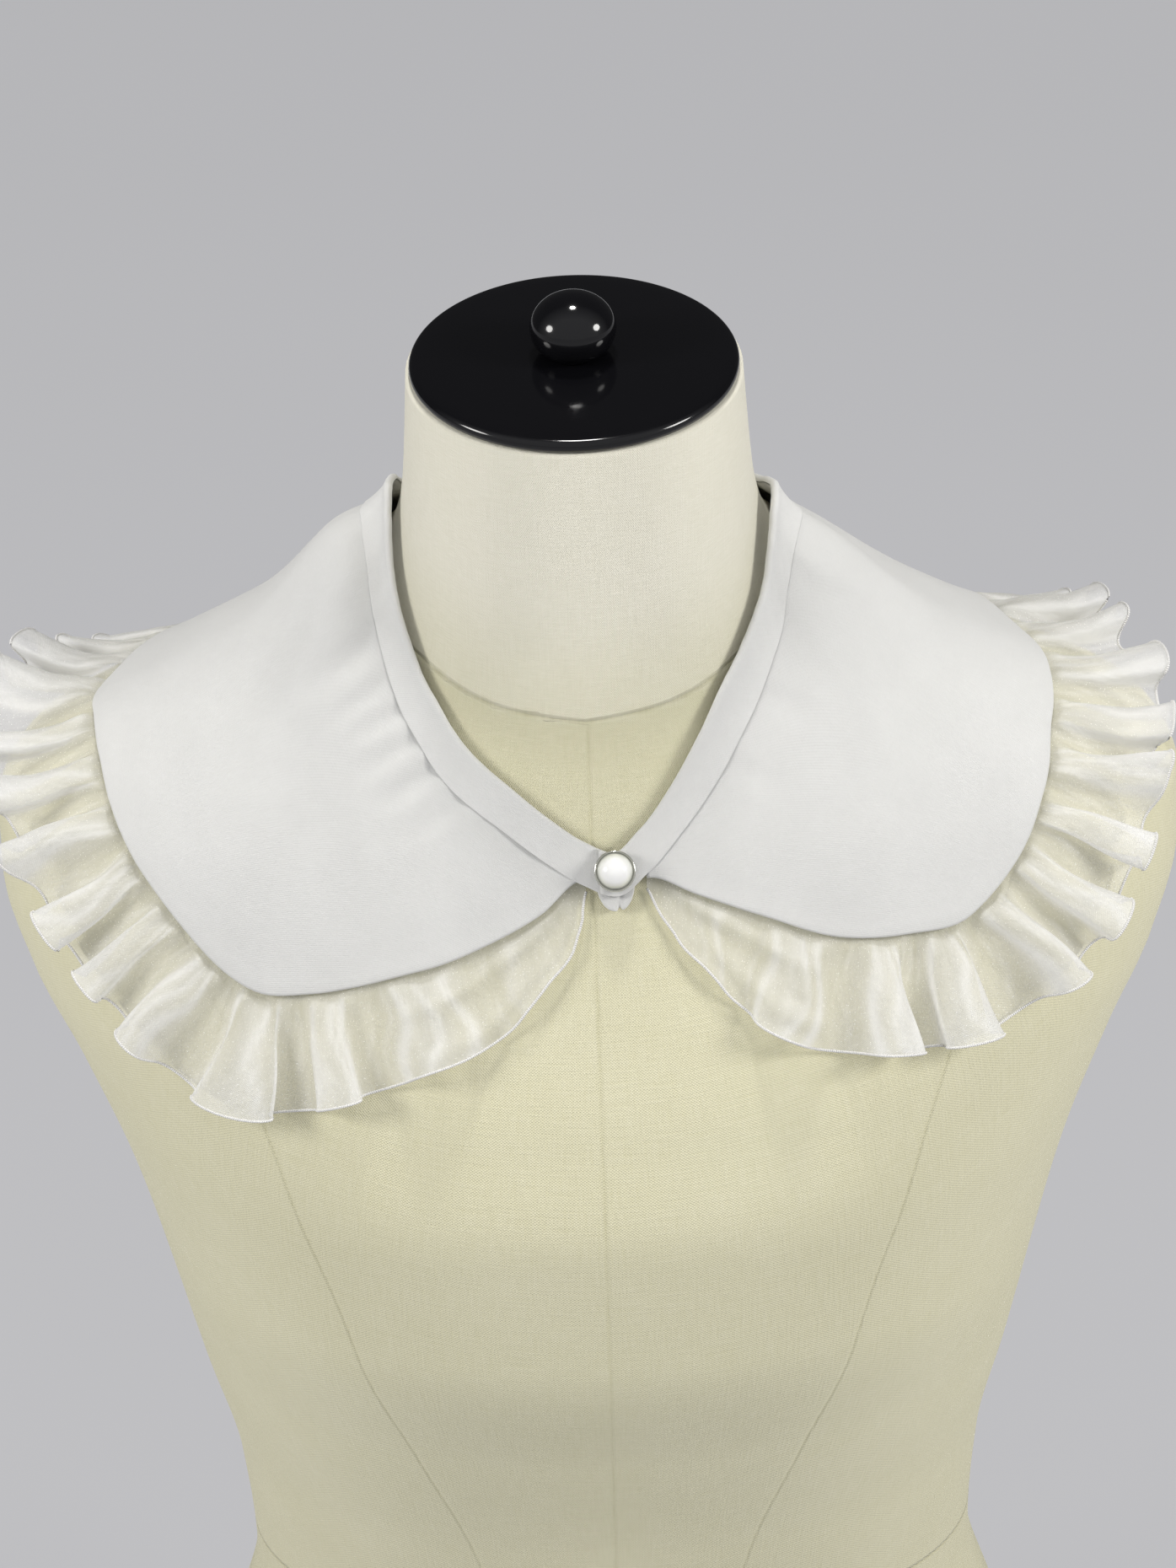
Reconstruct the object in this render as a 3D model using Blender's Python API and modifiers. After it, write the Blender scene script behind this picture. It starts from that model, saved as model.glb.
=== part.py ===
"""A detachable round shirt collar with a gathered ruffle, worn by a limbless dress form.

The frame is +Z up with the front facing -Y, +X to the right as the front is looked at, and the
origin on the table under the middle of the form. Metres throughout.
"""
import math

import bmesh
import bpy
import numpy as np
from mathutils import Matrix, Vector

NAME = "detachable_collar_on_dress_form"

# Gaps and layers of cloth, counted outwards from the form
GAP = 0.0003                    # between parted pieces
SEAT = 0.0005                   # ruffle seam above the form
RUFFLE_WALL = 0.0010
COLLAR_WALL = 0.0012
BAND_WALL = 0.0010
SEAM_GAP = 0.0006               # band to collar, both of them faceted
EDGE_GAP = 0.0006               # ruffle seam to the underside of the collar
RUFFLE_LIFT = SEAT + RUFFLE_WALL / 2
EDGE_LIFT = RUFFLE_LIFT + RUFFLE_WALL / 2 + EDGE_GAP + COLLAR_WALL / 2
NECK_LIFT = SEAT + COLLAR_WALL / 2
BAND_OVER_COLLAR = COLLAR_WALL / 2 + SEAM_GAP + BAND_WALL / 2

# The dress form
BOARD_THICK = 0.012             # board that closes the underside
FORM_SECTORS = 44
BODY_RINGS = 24                 # from the board to the lower neck
NECK_RINGS = 5                  # from there to the slanting top of the neck
BODY_TOP = 0.600                # where the rings begin to slant
NECK_TOP = 0.650                # height of the middle of the neck's top
NECK_TOP_Y = -0.016
NECK_SLANT = math.radians(12)
NECK_BLEND = 0.010              # how softly the neck runs into the shoulders
CLOTH_BLEND = 0.013             # the cloth bridges that hollow more softly
RING_CROWDING = 0.05            # how much closer the rings stand at both ends of the body
RING_RISE = 0.35                # and how much more of them the shoulders get
SMALL_STEP = 0.0001             # in turn and height, for the direction of the surface

# Height, half width, depth in front, depth behind, squareness of the torso's sections
TORSO = (
    (0.000, 0.163, 0.092, 0.112, 2.20),
    (0.045, 0.166, 0.094, 0.116, 2.20),
    (0.095, 0.160, 0.094, 0.112, 2.20),
    (0.145, 0.146, 0.091, 0.100, 2.20),
    (0.195, 0.133, 0.088, 0.088, 2.20),
    (0.240, 0.136, 0.096, 0.088, 2.20),
    (0.290, 0.147, 0.112, 0.094, 2.20),
    (0.340, 0.157, 0.128, 0.100, 2.25),
    (0.380, 0.167, 0.129, 0.104, 2.30),
    (0.420, 0.181, 0.118, 0.107, 2.50),
    (0.450, 0.194, 0.105, 0.108, 2.60),
    (0.478, 0.201, 0.091, 0.108, 2.60),
    (0.500, 0.201, 0.079, 0.106, 2.50),
    (0.516, 0.193, 0.069, 0.103, 2.30),
    (0.530, 0.170, 0.059, 0.098, 2.15),
    (0.548, 0.131, 0.045, 0.091, 2.05),
    (0.569, 0.092, 0.030, 0.082, 2.00),
    (0.592, 0.057, 0.017, 0.069, 2.00),
    (0.615, 0.030, 0.008, 0.046, 2.00),
    (0.636, 0.008, 0.003, 0.015, 2.00),
)
# Height, half width, half depth, y of the middle of the neck's sections
NECK = (
    (0.480, 0.0820, 0.0720, 0.020),
    (0.520, 0.0750, 0.0680, 0.012),
    (0.545, 0.0690, 0.0660, 0.006),
    (0.570, 0.0620, 0.0620, 0.001),
    (0.600, 0.0582, 0.0590, -0.005),
    (0.625, 0.0562, 0.0565, -0.010),
    (0.650, 0.0545, 0.0545, -0.014),
    (0.670, 0.0530, 0.0530, -0.018),
)

# Neck cap and knob, turned about the neck's slanting axis
CAP_RADIUS = 0.0533
CAP_THICK = 0.0045
CAP_DOME = 0.0015
CAP_SHOULDER = 0.6              # share of the radius, and of the dome's height there
KNOB_RADIUS = 0.0140
KNOB_HALF_HEIGHT = 0.0115
KNOB_STEM = 0.0085
KNOB_HEIGHT = 0.0200
KNOB_ARC = (68, -44)            # degrees of the ball that show between its top and its stem

# The collar: degrees round from the front, minus to the left as it is looked at; height of the
# neck edge; depth down to the outer edge; how far the neck edge stands off the form; how far the
# cloth bridges the hollow between neck and shoulder
COLLAR = (
    (-180, 0.5880, 0.0940, 0.0000, 0.0020),
    (-150, 0.5890, 0.0960, 0.0000, 0.0024),
    (-120, 0.5930, 0.1020, 0.0004, 0.0038),
    (-105, 0.6000, 0.1123, 0.0011, 0.0074),
    (-95, 0.6050, 0.1238, 0.0015, 0.0096),
    (-86, 0.6060, 0.1330, 0.0017, 0.0107),
    (-79, 0.5988, 0.1311, 0.0018, 0.0095),
    (-70, 0.5825, 0.1269, 0.0019, 0.0064),
    (-63, 0.5713, 0.1239, 0.0017, 0.0034),
    (-56, 0.5612, 0.1209, 0.0010, 0.0022),
    (-51, 0.5543, 0.1157, 0.0005, 0.0012),
    (-45, 0.5472, 0.1026, 0.0002, 0.0006),
    (-40, 0.5407, 0.0896, 0.0000, 0.0002),
    (-34, 0.5341, 0.0754, 0.0000, 0.0000),
    (-28, 0.5287, 0.0638, 0.0000, 0.0000),
    (-22, 0.5238, 0.0520, 0.0000, 0.0000),
    (-11, 0.5145, 0.0300, 0.0000, 0.0000),
    (-2, 0.5076, 0.0114, 0.0000, 0.0000),
    (5.5, 0.5040, 0.0090, 0.0000, 0.0000),
    (13, 0.5105, 0.0145, 0.0000, 0.0000),
    (22, 0.5215, 0.0337, 0.0000, 0.0000),
    (33, 0.5368, 0.0622, 0.0005, 0.0000),
    (42, 0.5505, 0.0898, 0.0008, 0.0003),
    (50, 0.5598, 0.1078, 0.0012, 0.0006),
    (57, 0.5680, 0.1215, 0.0018, 0.0014),
    (64, 0.5772, 0.1254, 0.0026, 0.0024),
    (70, 0.5884, 0.1272, 0.0032, 0.0034),
    (78, 0.5985, 0.1240, 0.0034, 0.0052),
    (86, 0.6010, 0.1170, 0.0030, 0.0054),
    (95, 0.5995, 0.1060, 0.0015, 0.0040),
    (105, 0.5960, 0.0990, 0.0004, 0.0032),
    (120, 0.5920, 0.0968, 0.0000, 0.0026),
    (150, 0.5890, 0.0950, 0.0000, 0.0020),
    (180, 0.5880, 0.0940, 0.0000, 0.0020),
)
BRIDGE_SPAN = 0.075             # down from the neck edge, where the bridge comes to rest
BRIDGE_POWER = 0.75             # under 1, it rises sooner below the neck edge
LIFT_DONE = 0.8                 # share of the depth, where a leaf lies at the ruffle's layers
FALL_LINE = (-0.004, 0.200, 205)    # above and below the neck edge, and points between them
MIDDLE = 5.5                    # degrees round to the button, where the ends meet
LEAF_START = 7.0                # degrees from there to the front corner of each leaf
# Spans of the collar, from the right leaf's corner round the back: where each one ends, in
# degrees, and its columns, which stand closer where the leaves' lower corners turn
COLLAR_SPANS = (
    (44.0, 9),
    (64.0, 9),
    (296.0, 56),
    (316.0, 9),
    (360.0 + MIDDLE - LEAF_START, 9),
)
COLLAR_ROWS = 4                 # below the band
EDGE_ROW = 0.004                # the last row, over the ruffle's seam
EDGE_ROW_SHARE = 0.4            # at most this much of what lies below the band

# Neck band: a strip folded over the neck edge, its ends crossing under the button
# Degrees round from the front, width of the band
BAND = (
    (-180, 0.0132),
    (-95, 0.0136),
    (-46, 0.0140),
    (-20, 0.0127),
    (5.5, 0.0126),
    (19, 0.0130),
    (30, 0.0148),
    (43, 0.0174),
    (58, 0.0158),
    (74, 0.0166),
    (95, 0.0150),
    (130, 0.0134),
    (180, 0.0132),
)
BAND_CROSS = 3.6                # degrees each end runs past the button
NECK_RADIUS = 0.060             # about the neck edge
SLANT_REACH = 0.5               # degrees each way, for the slope of the neck edge
SLANT_MOST = 1.9                # the fold reaches at most this much further for it
BAND_END_COLUMNS = 5            # of each end, beyond the collar's own columns
LEFT_END_LIFT = RUFFLE_LIFT + RUFFLE_WALL + 2 * GAP + BAND_WALL
RIGHT_END_LIFT = LEFT_END_LIFT + BAND_WALL + SEAM_GAP
END_TAPER = 16.0                # degrees over which an end moves to its own lift
FOLD_LOW = 0.4                  # share of half the wall, where the fold's top turns inwards

# Button and the folded end that peeps out under it
BUTTON_DROP = 0.0045            # below the neck edge
BUTTON_RADIUS = 0.0067
PEARL_RADIUS = 0.0058
PEARL_HEIGHT = 0.0052
RIM_HEIGHT = 0.0016
RIM_FLOOR = 0.0006              # metal under the pearl
TAB_WIDTH = 0.0146
TAB_TOP = 0.0072                # down from the neck edge
TAB_BOTTOM = 0.0173
TAB_NARROWING = 0.24            # share of the width lost at the bottom
TAB_NOTCH = 0.09                # between the two lobes, as a share of the length
TAB_ROUNDING = 0.30             # of the outer corners
TAB_LIFT = SEAT + BAND_WALL / 2
FRONT_RADIUS = 0.081            # of the form behind the button

# Ruffle: a gathered strip that hangs from the outer edge
RUFFLE_WIDTH = 0.039
RUFFLE_TUCK = 0.0025            # under the collar
POINTS_PER_FOLD = 11
RUFFLE_ROWS = (-RUFFLE_TUCK, 0.0012, 0.0150, RUFFLE_WIDTH)
RUFFLE_CORNER = 0.062           # along the edge, where the strip reaches its full width
CORNER_POWER = 0.60
CORNER_WIDTH = 0.08             # share of the width left at the very corner
CORNER_LEAN = 0.50              # how far the threads lean back at the front corners
LEAN_START = 0.010              # along the edge, where they lean most
LEAN_RUN = 0.060
WAVE_START = 0.0015             # from the collar's edge to where the folds begin
FOLD_GROWTH = 0.6               # power by which they open out towards the hem
FOLD_OVER = 0.0016              # how far the sides of a fold run under its crest
FULL_FOLD = 0.0050              # half height from which they do so in full
HEM_CLEAR = 0.0010              # more room under the troughs at the hem than at the seam
EDGE_SAMPLES = 1400
EDGE_REACH = 0.003              # each way along the edge, for its direction
# Folds differ in height: how fast that changes along the folds, where it starts, by what share
UNEVEN_HEIGHT = (
    (1.90, 0.0, 0.16),
    (0.83, 1.0, 0.10),
)
# The folds behind are uneven in spacing: share of the way round where that starts, how far it
# goes on, how fast it changes, by what part of a fold
UNEVEN_SPACING = (0.25, 0.48, 1.9, 0.10)
# Share of the way round the outer edge from the left corner, folds up to there, half height of
# the folds at the hem, how far the hem sags below a straight strip, how far the folds lean, part
# of the full width that the creases leave
WAVES = (
    (0.0000, 0, 0.0010, 0.0010, 0.0000, 1.00),
    (0.0240, 0.45, 0.0014, 0.0015, 0.0000, 0.80),
    (0.0480, 1, 0.0022, 0.0022, 0.0000, 0.79),
    (0.0881, 2, 0.0052, 0.0025, -0.0010, 0.87),
    (0.1135, 3, 0.0060, 0.0025, -0.0030, 0.96),
    (0.1373, 4, 0.0050, 0.0020, 0.0012, 1.00),
    (0.1591, 5, 0.0056, 0.0010, 0.0020, 0.97),
    (0.1808, 6, 0.0054, -0.0010, -0.0012, 0.97),
    (0.2021, 7, 0.0060, -0.0040, 0.0022, 0.94),
    (0.2217, 8, 0.0058, -0.0070, 0.0010, 0.94),
    (0.2447, 9, 0.0062, -0.0110, -0.0014, 0.96),
    (0.2900, 11, 0.0068, -0.0170, 0.0016, 1.00),
    (0.3350, 13, 0.0058, -0.0080, -0.0012, 1.00),
    (0.3900, 16, 0.0050, 0.0055, 0.0014, 1.00),
    (0.5000, 21, 0.0050, 0.0065, -0.0014, 1.00),
    (0.6250, 26, 0.0050, 0.0055, 0.0014, 1.00),
    (0.6800, 29, 0.0058, -0.0080, 0.0000, 1.00),
    (0.7317, 31, 0.0068, -0.0135, -0.0012, 0.98),
    (0.7558, 32, 0.0064, -0.0140, 0.0012, 0.94),
    (0.7812, 33, 0.0062, -0.0140, -0.0014, 0.94),
    (0.8016, 34, 0.0060, -0.0100, -0.0020, 0.94),
    (0.8233, 35, 0.0058, -0.0060, -0.0012, 0.96),
    (0.8411, 36, 0.0058, -0.0030, 0.0012, 0.99),
    (0.8603, 37, 0.0056, 0.0000, -0.0012, 1.03),
    (0.8810, 38, 0.0062, 0.0010, -0.0030, 0.93),
    (0.9015, 39, 0.0060, 0.0020, -0.0032, 0.95),
    (0.9255, 40, 0.0050, 0.0025, -0.0018, 0.94),
    (0.9600, 41, 0.0022, 0.0022, 0.0000, 0.88),
    (1.0000, 42, 0.0010, 0.0010, 0.0000, 1.00),
)


def clear_scene():
    for old in list(bpy.data.objects):
        bpy.data.objects.remove(old, do_unlink=True)


def through(rows, place):
    """Smooth curve through a table's rows, whose first column is the place, with no overshoot."""
    rows = np.asarray(rows, float)
    at, values = rows[:, 0], rows[:, 1:]
    step = np.diff(at)[:, None]
    rise = np.diff(values, axis=0) / step
    slope = np.zeros_like(values)
    slope[0], slope[-1] = rise[0], rise[-1]
    for i in range(1, len(at) - 1):
        before, after = rise[i - 1], rise[i]
        near = 2 * step[i] + step[i - 1]
        far = step[i] + 2 * step[i - 1]
        turning = before * after <= 0
        safe_before = np.where(turning, 1.0, before)
        safe_after = np.where(turning, 1.0, after)
        slope[i] = np.where(turning, 0.0, (near + far) / (near / safe_before + far / safe_after))
    place = np.clip(np.asarray(place, float), at[0], at[-1])
    i = np.clip(np.searchsorted(at, place, side="right") - 1, 0, len(at) - 2)
    h = step[i, 0]
    t = ((place - at[i]) / h)[..., None]
    h = h[..., None]
    start = (1 + 2 * t) * (1 - t) ** 2 * values[i] + t * (1 - t) ** 2 * h * slope[i]
    return start + t * t * (3 - 2 * t) * values[i + 1] + t * t * (t - 1) * h * slope[i + 1]


def ease(t):
    t = np.clip(t, 0.0, 1.0)
    return t * t * (3 - 2 * t)


def radius(turn, z, blend):
    """Distance from the upright axis to the form, for a turn from the front and a height."""
    turn, z = np.broadcast_arrays(np.asarray(turn, float), np.asarray(z, float))
    across, ahead = np.sin(turn), np.cos(turn)
    body = through(TORSO, z)
    depth = np.where(ahead > 0, body[..., 1], body[..., 2])
    square = body[..., 3]
    torso = (np.abs(across) / body[..., 0]) ** square + (np.abs(ahead) / depth) ** square
    torso = np.where(z > TORSO[-1][0], 0.0, torso ** (-1 / square))
    neck = through(NECK, z)
    wide, deep, middle = neck[..., 0], neck[..., 1], neck[..., 2]
    a = (across / wide) ** 2 + (ahead / deep) ** 2
    b = 2 * ahead * middle / deep ** 2
    c = (middle / deep) ** 2 - 1
    column = (-b + np.sqrt(np.maximum(b * b - 4 * a * c, 0.0))) / (2 * a)
    return np.maximum(torso, column) + blend / 2 * np.exp(-np.abs(torso - column) / blend)


def on_form(turn, z, blend=CLOTH_BLEND):
    turn, z = np.broadcast_arrays(np.asarray(turn, float), np.asarray(z, float))
    out = radius(turn, z, blend)
    return np.stack([out * np.sin(turn), -out * np.cos(turn), z], -1)


def unit(v):
    return v / np.maximum(np.linalg.norm(v, axis=-1, keepdims=True), 1e-12)


def outward(turn, z, blend=CLOTH_BLEND):
    """Outward normal of the surface that the cloth drapes over."""
    step = SMALL_STEP
    along = on_form(turn + step, z, blend) - on_form(turn - step, z, blend)
    upward = on_form(turn, z + step, blend) - on_form(turn, z - step, blend)
    return unit(np.cross(along, upward))


def lifted(turn, z, lift):
    return on_form(turn, z) + outward(turn, z) * np.asarray(lift)[..., None]


def height_above(p):
    """Height of points above the draped surface, with the normal there."""
    turn = np.arctan2(p[..., 0], -p[..., 1])
    out = np.hypot(p[..., 0], p[..., 1])
    n = outward(turn, p[..., 2])
    radial = np.stack([np.sin(turn), -np.cos(turn), np.zeros_like(turn)], -1)
    facing = np.sum(n * radial, -1)
    return (out - radius(turn, p[..., 2], CLOTH_BLEND)) * facing, n


def set_height(p, height):
    for _ in range(4):
        now, n = height_above(p)
        p = p + n * (height - now)[..., None]
    return p


def collar_line(degrees, down, lift):
    """Points of the collar: degrees round from the front, a distance down from the neck edge."""
    degrees, down, lift = np.broadcast_arrays(degrees, down, lift)
    angles, which = np.unique(degrees, return_inverse=True)
    which = which.reshape(degrees.shape)
    fall = np.linspace(*FALL_LINE)
    z = collar_row(angles)[0][:, None] - fall
    lines = on_form(np.radians(angles)[:, None], z)
    steps = np.linalg.norm(np.diff(lines, axis=1), axis=2)
    z_here = np.zeros(degrees.shape)
    for i, step in enumerate(steps):
        run = np.concatenate([[0], np.cumsum(step)])
        run -= np.interp(0.0, fall, run)
        here = which == i
        z_here[here] = np.interp(down[here], run, z[i])
    return lifted(np.radians(degrees), z_here, lift)


def collar_row(degrees):
    """Height of the neck edge, depth, stand-off and bridge at an angle round the neck."""
    wrapped = (np.asarray(degrees, float) + 180) % 360 - 180
    row = through(COLLAR, wrapped)
    return row[..., 0], row[..., 1], row[..., 2], row[..., 3]


def collar_lift(degrees, down):
    """Height of the middle of the collar's wall above the draped surface."""
    _, depth, stand, bridge = collar_row(degrees)
    share = np.clip(down / depth, 0, 1)
    lift = NECK_LIFT + stand + (EDGE_LIFT - NECK_LIFT - stand) * ease(share / LIFT_DONE)
    span = np.clip(np.asarray(down) / BRIDGE_SPAN, 0, 1)
    return lift + bridge * np.sin(np.pi * span ** BRIDGE_POWER) ** 2


def material(name, colour, roughness, metallic=0.0):
    made = bpy.data.materials.new(name)
    made.use_nodes = True
    shader = made.node_tree.nodes["Principled BSDF"]
    shader.inputs["Base Color"].default_value = (*colour, 1.0)
    shader.inputs["Roughness"].default_value = roughness
    shader.inputs["Metallic"].default_value = metallic
    return made


def new_object(name, mesh, collection, look):
    made = bpy.data.objects.new(name, mesh)
    collection.objects.link(made)
    mesh.materials.append(look)
    return made


def smooth(mesh, angle=50):
    mesh.shade_smooth()
    mesh.set_sharp_from_angle(angle=math.radians(angle))


def grid_mesh(name, points, closed_round=False, caps=False):
    """Mesh over a rows by columns grid of points, counted with the columns to the right and down."""
    rows, columns = points.shape[:2]
    bm = bmesh.new()
    verts = [[bm.verts.new(p) for p in row] for row in points]
    last = columns if closed_round else columns - 1
    for i in range(rows - 1):
        for j in range(last):
            k = (j + 1) % columns
            bm.faces.new((verts[i][j], verts[i + 1][j], verts[i + 1][k], verts[i][k]))
    if caps:
        bm.faces.new(verts[0])
        bm.faces.new(list(reversed(verts[-1])))
    mesh = bpy.data.meshes.new(name)
    bm.to_mesh(mesh)
    bm.free()
    smooth(mesh)
    return mesh


def shell(name, points, wall, collection, look):
    """Cloth wall, half of it on each side of the sheet that the points span."""
    made = new_object(name, grid_mesh(name, points), collection, look)
    thicken = made.modifiers.new("wall", "SOLIDIFY")
    thicken.thickness = wall
    thicken.offset = 0.0
    thicken.use_even_offset = True
    return made


def turned(name, profile, steps, collection, look, place=None):
    """Turned solid: the profile runs down the outer side from the axis to the axis."""
    bm = bmesh.new()
    verts = [bm.verts.new((r, 0.0, z)) for r, z in profile]
    for a, b in zip(verts, verts[1:]):
        bm.edges.new((a, b))
    mesh = bpy.data.meshes.new(name)
    bm.to_mesh(mesh)
    bm.free()
    made = new_object(name, mesh, collection, look)
    screw = made.modifiers.new("turn", "SCREW")
    screw.steps = steps
    screw.render_steps = steps
    screw.use_merge_vertices = True
    screw.merge_threshold = 0.00001
    screw.use_smooth_shade = True
    if place is not None:
        made.matrix_world = place
    return made


def arc(centre, size, start, end, count):
    """Points of an arc in a turned profile, from one angle in degrees to another."""
    angles = np.radians(np.linspace(start, end, count))
    return [(centre[0] + size * math.cos(a), centre[1] + size * math.sin(a)) for a in angles]


def neck_frame():
    """Matrix of the neck's slanting top: +Z is the cap's axis."""
    middle = Vector((0.0, NECK_TOP_Y, NECK_TOP))
    return Matrix.Translation(middle) @ Matrix.Rotation(NECK_SLANT, 4, "X")


def form_body(collection, look):
    turns = np.radians(np.arange(FORM_SECTORS) * 360 / FORM_SECTORS)
    low = BOARD_THICK + GAP
    share = np.linspace(0, 1, BODY_RINGS + 1)
    share = share - RING_CROWDING * np.sin(2 * np.pi * share) + RING_RISE * share * (1 - share)
    heights = low + (BODY_TOP - low) * share
    rings = [on_form(turns, np.full(turns.shape, z), NECK_BLEND) for z in heights]
    for i in range(1, NECK_RINGS + 1):
        part = i / NECK_RINGS
        level = BODY_TOP + (NECK_TOP - BODY_TOP) * part
        z = np.full(turns.shape, level)
        for _ in range(3):
            y = on_form(turns, z, NECK_BLEND)[:, 1]
            z = level + part * (y - NECK_TOP_Y) * math.tan(NECK_SLANT)
        rings.append(on_form(turns, z, NECK_BLEND))
    mesh = grid_mesh("form_body", np.array(rings[::-1]), closed_round=True, caps=True)
    return new_object("form_body", mesh, collection, look)


def form_base(collection, look):
    """Board that closes the underside and rests flat on the table."""
    turns = np.radians(np.arange(FORM_SECTORS) * 360 / FORM_SECTORS)
    outline = on_form(turns, np.full(turns.shape, TORSO[0][0]), NECK_BLEND)
    bm = bmesh.new()
    floor = bm.faces.new([bm.verts.new((p[0], p[1], 0.0)) for p in outline])
    raised = bmesh.ops.extrude_face_region(bm, geom=[floor])
    top = [v for v in raised["geom"] if isinstance(v, bmesh.types.BMVert)]
    bmesh.ops.translate(bm, verts=top, vec=(0, 0, BOARD_THICK))
    bmesh.ops.recalc_face_normals(bm, faces=bm.faces)
    mesh = bpy.data.meshes.new("form_base")
    bm.to_mesh(mesh)
    bm.free()
    return new_object("form_base", mesh, collection, look)


def form_neck_cap(collection, look):
    rim = CAP_THICK / 2
    top = CAP_THICK + GAP
    profile = [(0.0, top + CAP_DOME), (CAP_RADIUS * CAP_SHOULDER, top + CAP_DOME * CAP_SHOULDER)]
    profile += arc((CAP_RADIUS - rim, rim + GAP), rim, 90, -90, 7)
    profile.append((0.0, GAP))
    return turned("form_neck_cap", profile, 48, collection, look, neck_frame())


def form_knob(collection, look):
    foot = CAP_THICK + CAP_DOME + 2 * GAP
    ball = foot + KNOB_HEIGHT - KNOB_HALF_HEIGHT
    flatten = KNOB_HALF_HEIGHT / KNOB_RADIUS
    profile = [(0.0, foot + KNOB_HEIGHT)]
    profile += [(r, ball + z * flatten) for r, z in arc((0.0, 0.0), KNOB_RADIUS, *KNOB_ARC, 9)]
    profile += [(KNOB_STEM, foot), (0.0, foot)]
    return turned("form_knob", profile, 24, collection, look, neck_frame())


def band_width(degrees):
    wrapped = (np.asarray(degrees, float) + 180) % 360 - 180
    return through(BAND, wrapped)[..., 0]


def collar_degrees():
    """Columns of the collar, which the band over it shares so that their facets run level."""
    degrees = np.array([MIDDLE + LEAF_START])
    for end, columns in COLLAR_SPANS:
        degrees = np.append(degrees, np.linspace(degrees[-1], end, columns + 1)[1:])
    return degrees


def collar_body(collection, look):
    """Two turned layers of cloth as one wall, round the neck from corner to corner."""
    degrees = collar_degrees()
    depth = collar_row(degrees)[1]
    band = band_width(degrees)
    near_edge = depth - np.minimum(EDGE_ROW, (depth - band) * EDGE_ROW_SHARE)
    downs = [band * 0, band / 2]
    downs += [band + (near_edge - band) * share for share in np.linspace(0, 1, COLLAR_ROWS + 1)]
    downs.append(depth)
    rows = [collar_line(degrees, down, collar_lift(degrees, down)) for down in downs]
    return shell("collar_body", np.array(rows), COLLAR_WALL, collection, look)


def band_lift(degrees, down):
    """The band lies on the collar, and its ends move to their own layers under the button."""
    on_collar = collar_lift(degrees, np.maximum(down, 0)) + BAND_OVER_COLLAR
    from_left = (360 + MIDDLE + BAND_CROSS - degrees) / END_TAPER
    from_right = (degrees - (MIDDLE - BAND_CROSS)) / END_TAPER
    lift = on_collar + (LEFT_END_LIFT - on_collar) * (1 - ease(from_left))
    return lift + (RIGHT_END_LIFT - on_collar) * (1 - ease(from_right))


def edge_slant(degrees):
    """How much longer the way down at an angle is than the way square to the neck edge."""
    ahead = collar_row(degrees + SLANT_REACH)[0]
    behind = collar_row(degrees - SLANT_REACH)[0]
    rise = (ahead - behind) / math.radians(2 * SLANT_REACH)
    return np.minimum(np.hypot(1.0, rise / NECK_RADIUS), SLANT_MOST)


def neck_binding(collection, look):
    """Strip that covers the neck edge, with a lip turned down inside it."""
    over_collar = collar_degrees()
    first, last = MIDDLE - BAND_CROSS, 360 + MIDDLE + BAND_CROSS
    right_end = np.linspace(first, over_collar[0], BAND_END_COLUMNS + 1)[:-1]
    left_end = np.linspace(over_collar[-1], last, BAND_END_COLUMNS + 1)[1:]
    degrees = np.concatenate([right_end, over_collar, left_end])
    half = BAND_WALL / 2
    edge = SEAM_GAP + BAND_WALL
    lip = COLLAR_WALL + SEAM_GAP
    section = (
        (1.0, 0.0, -half),
        (1.0, 0.0, half),
        (0.5, 0.0, half),
        (0.0, -edge + half, half),
        (0.0, -edge, -half * FOLD_LOW),
        (0.0, -edge, -half - lip),
        (0.0, -SEAM_GAP, -half - lip),
        (0.0, -SEAM_GAP, -half),
        (0.5, 0.0, -half),
    )
    loops = []
    for share, down, out in section:
        at = band_width(degrees) * share + down * edge_slant(degrees)
        loops.append(collar_line(degrees, at, band_lift(degrees, at) + out))
    columns = np.array(loops).transpose(1, 0, 2)
    mesh = grid_mesh("neck_binding", columns, closed_round=True, caps=True)
    return new_object("neck_binding", mesh, collection, look)


def front_frame(down, lift):
    """Matrix at the front middle, a distance below the neck edge: +Z faces out, +Y is up."""
    at = collar_line(np.array([MIDDLE]), np.array([down]), np.array([lift]))[0]
    upper = collar_line(np.array([MIDDLE]), np.array([down - 0.002]), np.array([lift]))[0]
    n = Vector(outward(math.radians(MIDDLE), at[2]))
    up = Vector(upper - at)
    up = (up - up.dot(n) * n).normalized()
    turn = Matrix((up.cross(n), up, n)).transposed().to_4x4()
    return Matrix.Translation(Vector(at)) @ turn


def button_rim(collection, look):
    """Metal setting, hollow in front where the pearl sits."""
    wall = BUTTON_RADIUS - PEARL_RADIUS - GAP
    profile = [(0.0, RIM_FLOOR), (PEARL_RADIUS + GAP, RIM_FLOOR)]
    profile.append((PEARL_RADIUS + GAP, RIM_HEIGHT))
    profile += arc((BUTTON_RADIUS - wall, RIM_HEIGHT - wall), wall, 90, 0, 4)
    profile += [(BUTTON_RADIUS, 0.0), (0.0, 0.0)]
    place = front_frame(BUTTON_DROP, RIGHT_END_LIFT + BAND_WALL / 2 + GAP)
    return turned("button_rim", profile, 28, collection, look, place)


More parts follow.
